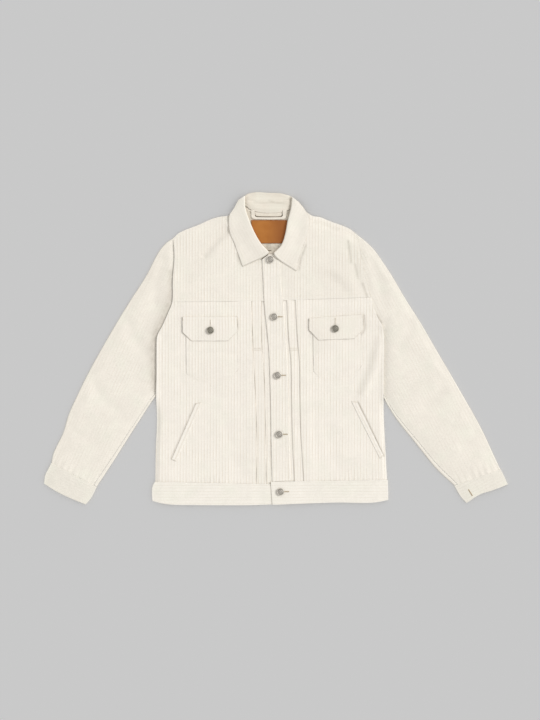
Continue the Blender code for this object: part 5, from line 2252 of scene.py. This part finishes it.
@dataclass
class CollarBack(Part):
    """Collar behind the neck: stand up to the fold, then the leaf back under the yoke.

    sags holds the two troughs across the stand: depth, place, wander, its wavelength and width.
    """

    radius: float = 2.6
    fold_steps: int = 8
    per: int = 8
    right_end: tuple = (-72.5, 334, -74.0, 357.5, -92, 320)
    left_end: tuple = (37.0, 332, 39.5, 355.0, 58, 320)
    sags: tuple = ((0.7, 0.62, 0.12, 21.0, 0.07), (0.45, 0.3, -0.06, 13.0, 0.06))
    rise: float = 11.0
    stand_steps: tuple = (46.0, 2.4)
    leaf_steps: tuple = (50.0, 6.0)

    def build(self) -> None:
        """Make the collar's back and its stitches."""
        stations = [self.right_end, *COLLAR_BACK, self.left_end]
        lines = [rail(stations, first, self.per) for first in (0, 2, 4)]
        low = LAYERS.band / 2
        turn = self.radius + low
        over = low + 2 * self.radius
        rows = []
        stand_parts, leaf_parts = steps(*self.stand_steps), steps(*self.leaf_steps)
        for seam, fold, free in zip(*(line.points for line in lines)):
            stand, leaf = Line([seam, fold]), Line([fold, free])
            knee, start = stand.place(stand.length - turn), leaf.place(turn)
            outward = fold - (knee + start) / 2
            outward = outward / np.linalg.norm(outward)
            row = [self._on_stand(stand, part, stand.length - turn, over) for part in stand_parts]
            for i in range(1, self.fold_steps):
                angle = math.pi * i / self.fold_steps
                place = mix(knee, start, i / self.fold_steps) + outward * self.radius * math.sin(angle)
                row.append((*place, over - self.radius * (1 - math.cos(angle))))
            row += [(*leaf.place(mix(turn, leaf.length, part)), low) for part in leaf_parts]
            rows.append(row)
        ply = Ply(np.array(rows), LAYERS.band_wall, ACROSS, probe=(len(rows) // 2, 3))
        # darker cloth with the shade inside the neck painted in
        self.wardrobe.cloth(ply, "collar_back", Finish.SHADED_STAND, Slot.BAND, [])
        self.topstitch("collar_back", ply, ((Rim.LOW, (2.4, 14.0, 26.0)),), slot=Slot.BAND)

    def _on_stand(self, stand: Line, part: float, reach: float, over: float) -> tuple[float, float, float]:
        """Point of the stand's cloth at a share of its reach, below the fold's height.

        Args:
            stand: the row's stand in plan.
            part: share of the reach.
            reach: length of the stand up to the fold.
            over: height at the fold.

        Returns:
            The point.
        """
        x, y = stand.place(part * reach)
        sag = 0.0
        for depth, middle, wander, wave, width in self.sags:
            sag += depth * math.exp(-(((part - middle - wander * math.sin(x / wave)) / width) ** 2))
        up = float(ease(part * reach / self.rise))
        return x, y, mix(float(self.drape.back(x, y)) + LAYERS.denim, over, up) - sag * up


@dataclass
class InsideNeck(Part):
    """Leather patch and hanging loop on the inside of the back yoke.

    slot is the gap under the loop in plan, where a painted shadow line is laid at the height of the yoke at
    shade_spot.
    """

    patch_box: tuple = (-58.0, 27.0, 246.0, 301.0)
    patch_pitch: float = 2.0
    loop_per: int = 6
    loop_steps: tuple = (6.0, 1.2)
    shade_spot: tuple = (-17.0, 309.0)
    shade_lift: float = 0.6
    loop_ends: tuple = ((-59.0, 324.0, -49.5, 324.0), (26.0, 324.0, 16.5, 324.0))
    slot: tuple = ((-50, 321), (-49, 313.0), (-45, 309.6), (-17, 308.6), (12, 309.2), (15.5, 312.5), (18, 321))

    def build(self) -> None:
        """Make the patch, the loop, their stitches and the painted shadow line under the loop."""
        self._patch()
        self._loop()
        # painted shadow line along the gap under the loop
        height = float(self.drape.back(*self.shade_spot)) + LAYERS.denim / 2 + self.shade_lift
        path = np.array([(x, y, height) for x, y in trimmed(Line(self.slot).points)])
        shade = Sewing("loop_slot_shadow", Finish.SHADOW)
        shade.add(path, StitchStyle(pitch=1.0, length=2.4, width=2.3, rise=1.0))
        shade.lay(self.wardrobe)

    def _patch(self) -> None:
        """Make the leather patch."""
        left, right, low, high = self.patch_box
        plan = Patch.corners((left, high), (right, high), (right, low), (left, low))
        x, y = plan.grid(self.patch_pitch, self.patch_pitch)
        z = self.drape.back(x, y) + LAYERS.denim / 2 + LAYERS.lie + LAYERS.leather / 2
        z += 0.16 * np.sin(x / 9.0 + 0.5 * np.sin(y / 8.0)) * np.sin(y / 11.0)
        patch = Ply(np.dstack([x, y, z]), LAYERS.leather)
        self.wardrobe.cloth(patch, "leather_patch", Finish.LEATHER, Slot.LEATHER, ["back_yoke"])
        self.topstitch("leather_patch", patch, [(rim, (2.6,), (2.6, 2.6)) for rim in Rim],
                       Finish.TAN_THREAD, Slot.LEATHER)

    def _loop(self) -> None:
        """Make the hanging loop."""
        stations = [self.loop_ends[0], *LOOP, self.loop_ends[1]]
        outer, inner = (rail(stations, first, self.loop_per).points for first in (0, 2))
        grid = np.array([[mix(a, b, part) for part in steps(*self.loop_steps)] for a, b in zip(outer, inner)])
        x, y = grid[..., 0], grid[..., 1]
        z = self.drape.back(x, y) + LAYERS.denim + LAYERS.lie + 0.12 * np.sin(x / 2.1)
        z = z + 1.5 * ease((y - 313.0) / 8.0)
        z += 0.8 * ease((311.0 - y) / 5.0)
        # painted shade along its rims
        loop = Ply(np.dstack([grid, z]), LAYERS.denim_wall, ACROSS).paint_rim_shade({Rim.LOW: 0.5, Rim.HIGH: 0.5})
        # darker cloth with the shade inside the neck painted in
        self.wardrobe.cloth(loop, "hanging_loop", Finish.SHADED_STAND, Slot.DENIM, ["back_yoke"])
        self.topstitch("hanging_loop", loop, ((Rim.LOW, (1.3,)),))


@dataclass
class Closure(Part):
    """Front buttons, their buttonholes and painted shadow lines at the neck."""

    placket: Ply
    waistband: Ply
    buttons: tuple = ((-13, 208), (-4, 73), (4, -65), (8, -204), (11, -339))
    offset: float = 7.5
    # painted shadow lines at the neck: points and heights
    gaps: tuple = (((-33.2, 208.6, 5.9), (-25.5, 214.4, 6.2), (-18.4, 219.6, 6.3)),
                   ((-20.5, 229.4, 5.2), (-10.5, 229.4, 5.2)))

    def build(self) -> None:
        """Make the buttons, sew the holes and lay painted shadow lines in the gaps where the fronts meet at the neck.
        """
        eye = Sewing("front_eyes", Finish.BEIGE_THREAD)
        # painted shade in the front buttonhole slits
        shade = Sewing("front_slit_shade", Finish.BUTTONHOLE_SHADE)
        hole = Buttonhole(length=12.0, width=1.7, slit=0.6)
        for number, (x, y) in enumerate(self.buttons, 1):
            ShankButton(self.wardrobe, "front_button_%d" % number).build()
            cloth = self.waistband if number == len(self.buttons) else self.placket
            if number > 1:
                hole.sew(cloth, eye, shade, (x + self.offset, y), 0.0)
        # painted shadow lines in the gaps at the neck
        gap = Sewing("neck_gap_shadow", Finish.SHADOW)
        for line in self.gaps:
            gap.add(trimmed(np.array(line, float), pitch=0.8), StitchStyle(1.1, 2.2, 2.3, 0.6))
        for made in (eye, shade, gap):
            made.lay(self.wardrobe)


@dataclass
class Studio:
    """Pale floor, soft lights and the camera straight above."""

    centre: tuple = (-0.0136, -0.0289)
    frame_height: float = 1.6992
    lens: float = 85.0
    sensor: float = 36.0
    floor_half: float = 12.0
    drop: float = 0.2
    floor_colour: Colour = linear(241, 241, 241)
    sky: float = 0.665
    key_strength: float = 1.84
    key_height: float = 36.0
    key_turn: float = 24.0
    key_softness: float = 22.0

    def build(self) -> None:
        """Make the floor, the lights and the camera."""
        half = self.floor_half
        corners = np.array([(-half, -half, 0), (half, -half, 0), (half, half, 0), (-half, half, 0)]) / MM
        floor = mesh_piece("floor", corners - (0.0, 0.0, self.drop), [(0, 1, 2, 3)])
        floor.data.materials.append(self._paper())
        floor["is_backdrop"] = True
        world = bpy.data.worlds.new("studio")
        world.use_nodes = True
        sky = world.node_tree.nodes["Background"].inputs
        sky[0].default_value, sky[1].default_value = rgba((1.0, 1.0, 1.0)), self.sky
        scene = bpy.context.scene
        scene.world = world
        scene.view_settings.view_transform = "Standard"
        self._key()
        camera = bpy.data.cameras.new("camera")
        camera.lens, camera.sensor_width = self.lens, self.sensor
        scene.camera = linked("camera", camera)
        scene.camera.location = (*self.centre, self.frame_height * self.lens / self.sensor)

    def _paper(self) -> bpy.types.Material:
        """Matt pale paper of the floor."""
        made, tree = Tree.of_material("pale_paper")
        tree.shade(rgba(self.floor_colour), 1.0, Specular_IOR_Level=0.0)
        return made

    def _key(self) -> None:
        """Wide soft light from the left shoulder's side, on the jacket and not on the paper."""
        lamp = bpy.data.lights.new("key", "SUN")
        lamp.energy, lamp.angle = self.key_strength, math.radians(self.key_softness)
        height, turn = math.radians(self.key_height), math.radians(self.key_turn)
        way = Vector((math.cos(turn) * math.cos(height), math.sin(turn) * math.cos(height), math.sin(height)))
        made = linked("key", lamp)
        made.location = way * 3.0
        made.rotation_mode = "QUATERNION"
        made.rotation_quaternion = (-way).to_track_quat("-Z", "Y")
        lit = bpy.data.collections.new("lit_by_key")
        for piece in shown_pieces():
            lit.objects.link(piece)
        made.light_linking.receiver_collection = lit


# ---- putting it together


FRONT_CREASES = (
    Crease(((250, 30), (237, -36), (205, -114)), 10.5, -1.4),
    Crease(((222, -6), (208, -60), (184, -112)), 9.0, 0.5),
    Crease(((-108, 282), (-140, 250), (-174, 212)), 8.5, 2.8),
    Crease(((-120, 262), (-150, 228)), 8.0, -0.7),
    Crease(((120, 176), (150, 150), (178, 126)), 12.0, 1.3),
    Crease(((168, 240), (186, 190), (198, 140)), 11.0, 0.9),
    Crease(((-236, -40), (-220, -80), (-206, -118)), 12.0, 0.9),
    Crease(((-200, -15), (-148, -12), (-94, -15)), 6.0, 0.6),
    Crease(((-120, -170), (-106, -230), (-96, -290)), 16.0, 0.6),
    Crease(((120, -180), (132, -236), (150, -290)), 16.0, 0.6),
    Crease(((-210, -250), (-236, -300)), 14.0, 0.6),
)
SLEEVE_CREASES = (
    Crease(((-262, 214), (-280, 160), (-286, 92)), 13.0, 1.2),
    Crease(((-352, 60), (-330, 16), (-300, -16)), 13.0, 1.1),
    Crease(((-436, -72), (-410, -118), (-372, -150)), 14.0, 1.2),
    Crease(((-492, -176), (-470, -202), (-436, -214)), 12.0, 1.0),
    Crease(((224, 206), (244, 156), (252, 96)), 13.0, 1.2),
    Crease(((322, 64), (306, 24), (280, -12)), 13.0, 1.1),
    Crease(((404, -74), (382, -116), (346, -144)), 14.0, 1.2),
    Crease(((476, -190), (460, -222), (430, -236)), 12.0, 1.0),
)


# Painted shade along lines for each node: a Crease's depth here is the share of darkening, not a trough.
PAINTED_SHADES = {
    "top_sleeve_right": (
        Crease(((-247, 185), (-250, 110), (-261, 80), (-273, 52), (-287, 24), (-288, -30), (-287, -104)), 8.0, 0.22),
        Crease(((-262, 225), (-275, 185), (-300, 140)), 26.0, 0.03),
        Crease(((-252, 130), (-268, 75), (-290, 30), (-294, -30), (-293, -90)), 17.0, 0.09),
    ),
    "front_yoke_right": (
        Crease(((-108, 290), (-140, 252), (-180, 206)), 13.0, 0.06),
        Crease(((-176, 212), (-196, 180), (-206, 150)), 14.0, 0.03),
        Crease(((-92, 224), (-83, 195)), 2.6, 0.3),
    ),
    "front_panel_left": (
        Crease(((240, 30), (225, -36), (195, -112)), 9.0, 0.07),
        Crease(((165, 20), (166, -10), (164, -40)), 7.0, 0.05),
        Crease(((208.5, 78), (209, 42), (187, 17)), 2.0, 0.3),
        Crease(((193.5, -127), (226, -194), (255, -256)), 1.9, 0.45),
        Crease(((150, 90), (170, 60), (190, 20)), 50.0, 0.02),
    ),
    "front_panel_right": (
        Crease(((-92, 74), (-91, 40), (-112, 15)), 2.0, 0.22),
        Crease(((-190, -131), (-219, -197), (-248, -263)), 1.8, 0.26),
    ),
    "front_yoke_left": (
        Crease(((112, 180), (146, 154), (174, 130)), 15.0, 0.04),
        Crease(((130, 240), (150, 180), (160, 120)), 50.0, 0.03),
        Crease(((72, 243), (60, 211), (54, 182)), 2.2, 0.26),
        Crease(((88, 298), (120, 290), (150, 276)), 5.0, 0.06),
        Crease(((170.5, 254), (174, 228), (177.6, 200)), 2.4, 0.22),
        Crease(((187, 198), (194, 162)), 2.4, 0.2),
        Crease(((204, 153), (218, 113)), 2.6, 0.24),
    ),
    "top_sleeve_left": (
        Crease(((237, 78), (251, 57)), 3.0, 0.3),
    ),
    "collar_back": (
        Crease(((-53, 342), (-28, 340), (-8, 342), (28, 338)), 2.2, 0.12),
        Crease(((-19, 348), (3, 341), (26, 345)), 2.2, 0.12),
        Crease(((-71, 356), (-70, 335), (-62, 318)), 5.0, 0.28),
        Crease(((36, 357), (33, 330), (32, 312)), 3.0, 0.4),
        Crease(((-60, 362), (-17, 364), (26, 359)), 6.0, 0.08),
    ),
    "back_yoke": (
        Crease(((-66, 326), (-58, 300)), 5.0, 0.16),
        Crease(((33, 330), (29, 296), (22, 270)), 4.0, 0.4),
        Crease(((-26, 238), (-8, 238)), 11.0, 0.4),
        Crease(((6, 244), (-8, 229)), 4.0, 0.3),
    ),
}


def body_seams() -> list[Pucker]:
    """Seams of the fronts that draw the cloth up."""
    made = []
    for number, outline in enumerate(OUTLINES.values()):
        reach = LAYERS.lap_width if outline.side is Side.RIGHT else 0.0
        knot = outline.armhole[outline.yoke_knots - 1]
        inner = min(BUTTON_EDGE, key=lambda point: abs(point[1] - 110.0))
        yoke = Line([knot, (inner[0] + reach, inner[1])])
        waist = Line([outline.waist_side[0], (BUTTON_EDGE[-1][0] + reach, -322.0)])
        phase = 0.9 + 1.7 * number
        made += [Pucker(yoke, 0.16, 8.5, 10.0, phase, 0.22, 9.5),
                 Pucker(Line(outline.armhole), 0.18, 9.5, 11.0, phase + 0.8, 0.25, 9.5),
                 Pucker(Line(outline.shoulder), 0.14, 9.0, 9.0, phase + 1.9, 0.12, 9.0),
                 Pucker(waist, 0.36, 10.5, 13.0, phase + 2.7),
                 Pucker(Line(outline.flank), 0.13, 10.0, 8.0, phase + 0.3)]
    return made


def main() -> None:
    """Build the jacket piece by piece, then the studio."""
    logging.basicConfig(level=logging.INFO, format="%(name)s %(message)s")
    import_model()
    wardrobe = Wardrobe()
    drape = Drape(FRONT_CREASES, SLEEVE_CREASES, puckers=body_seams())
    jacket = Jacket(drape, wardrobe)
    BackBody(jacket).build()
    for outline in OUTLINES.values():
        FrontYoke(jacket, outline).build()
        FrontPanel(jacket, outline).build()
        Sleeve(jacket, outline).build()
        HandPocket(jacket, outline).build()
        ChestPocket(jacket, outline).build()
        CollarLeaf(jacket, outline).build()
    placket = Placket(jacket).build()
    bands = {side: FrontWaistband(jacket, outline).build() for side, outline in OUTLINES.items()}
    CollarBack(jacket).build()
    InsideNeck(jacket).build()
    Closure(jacket, placket, bands[Side.LEFT]).build()
    Studio().build()
    LOG.info("%d pieces, %d triangles", wardrobe.pieces, wardrobe.triangles)


if __name__ == "__main__":
    main()
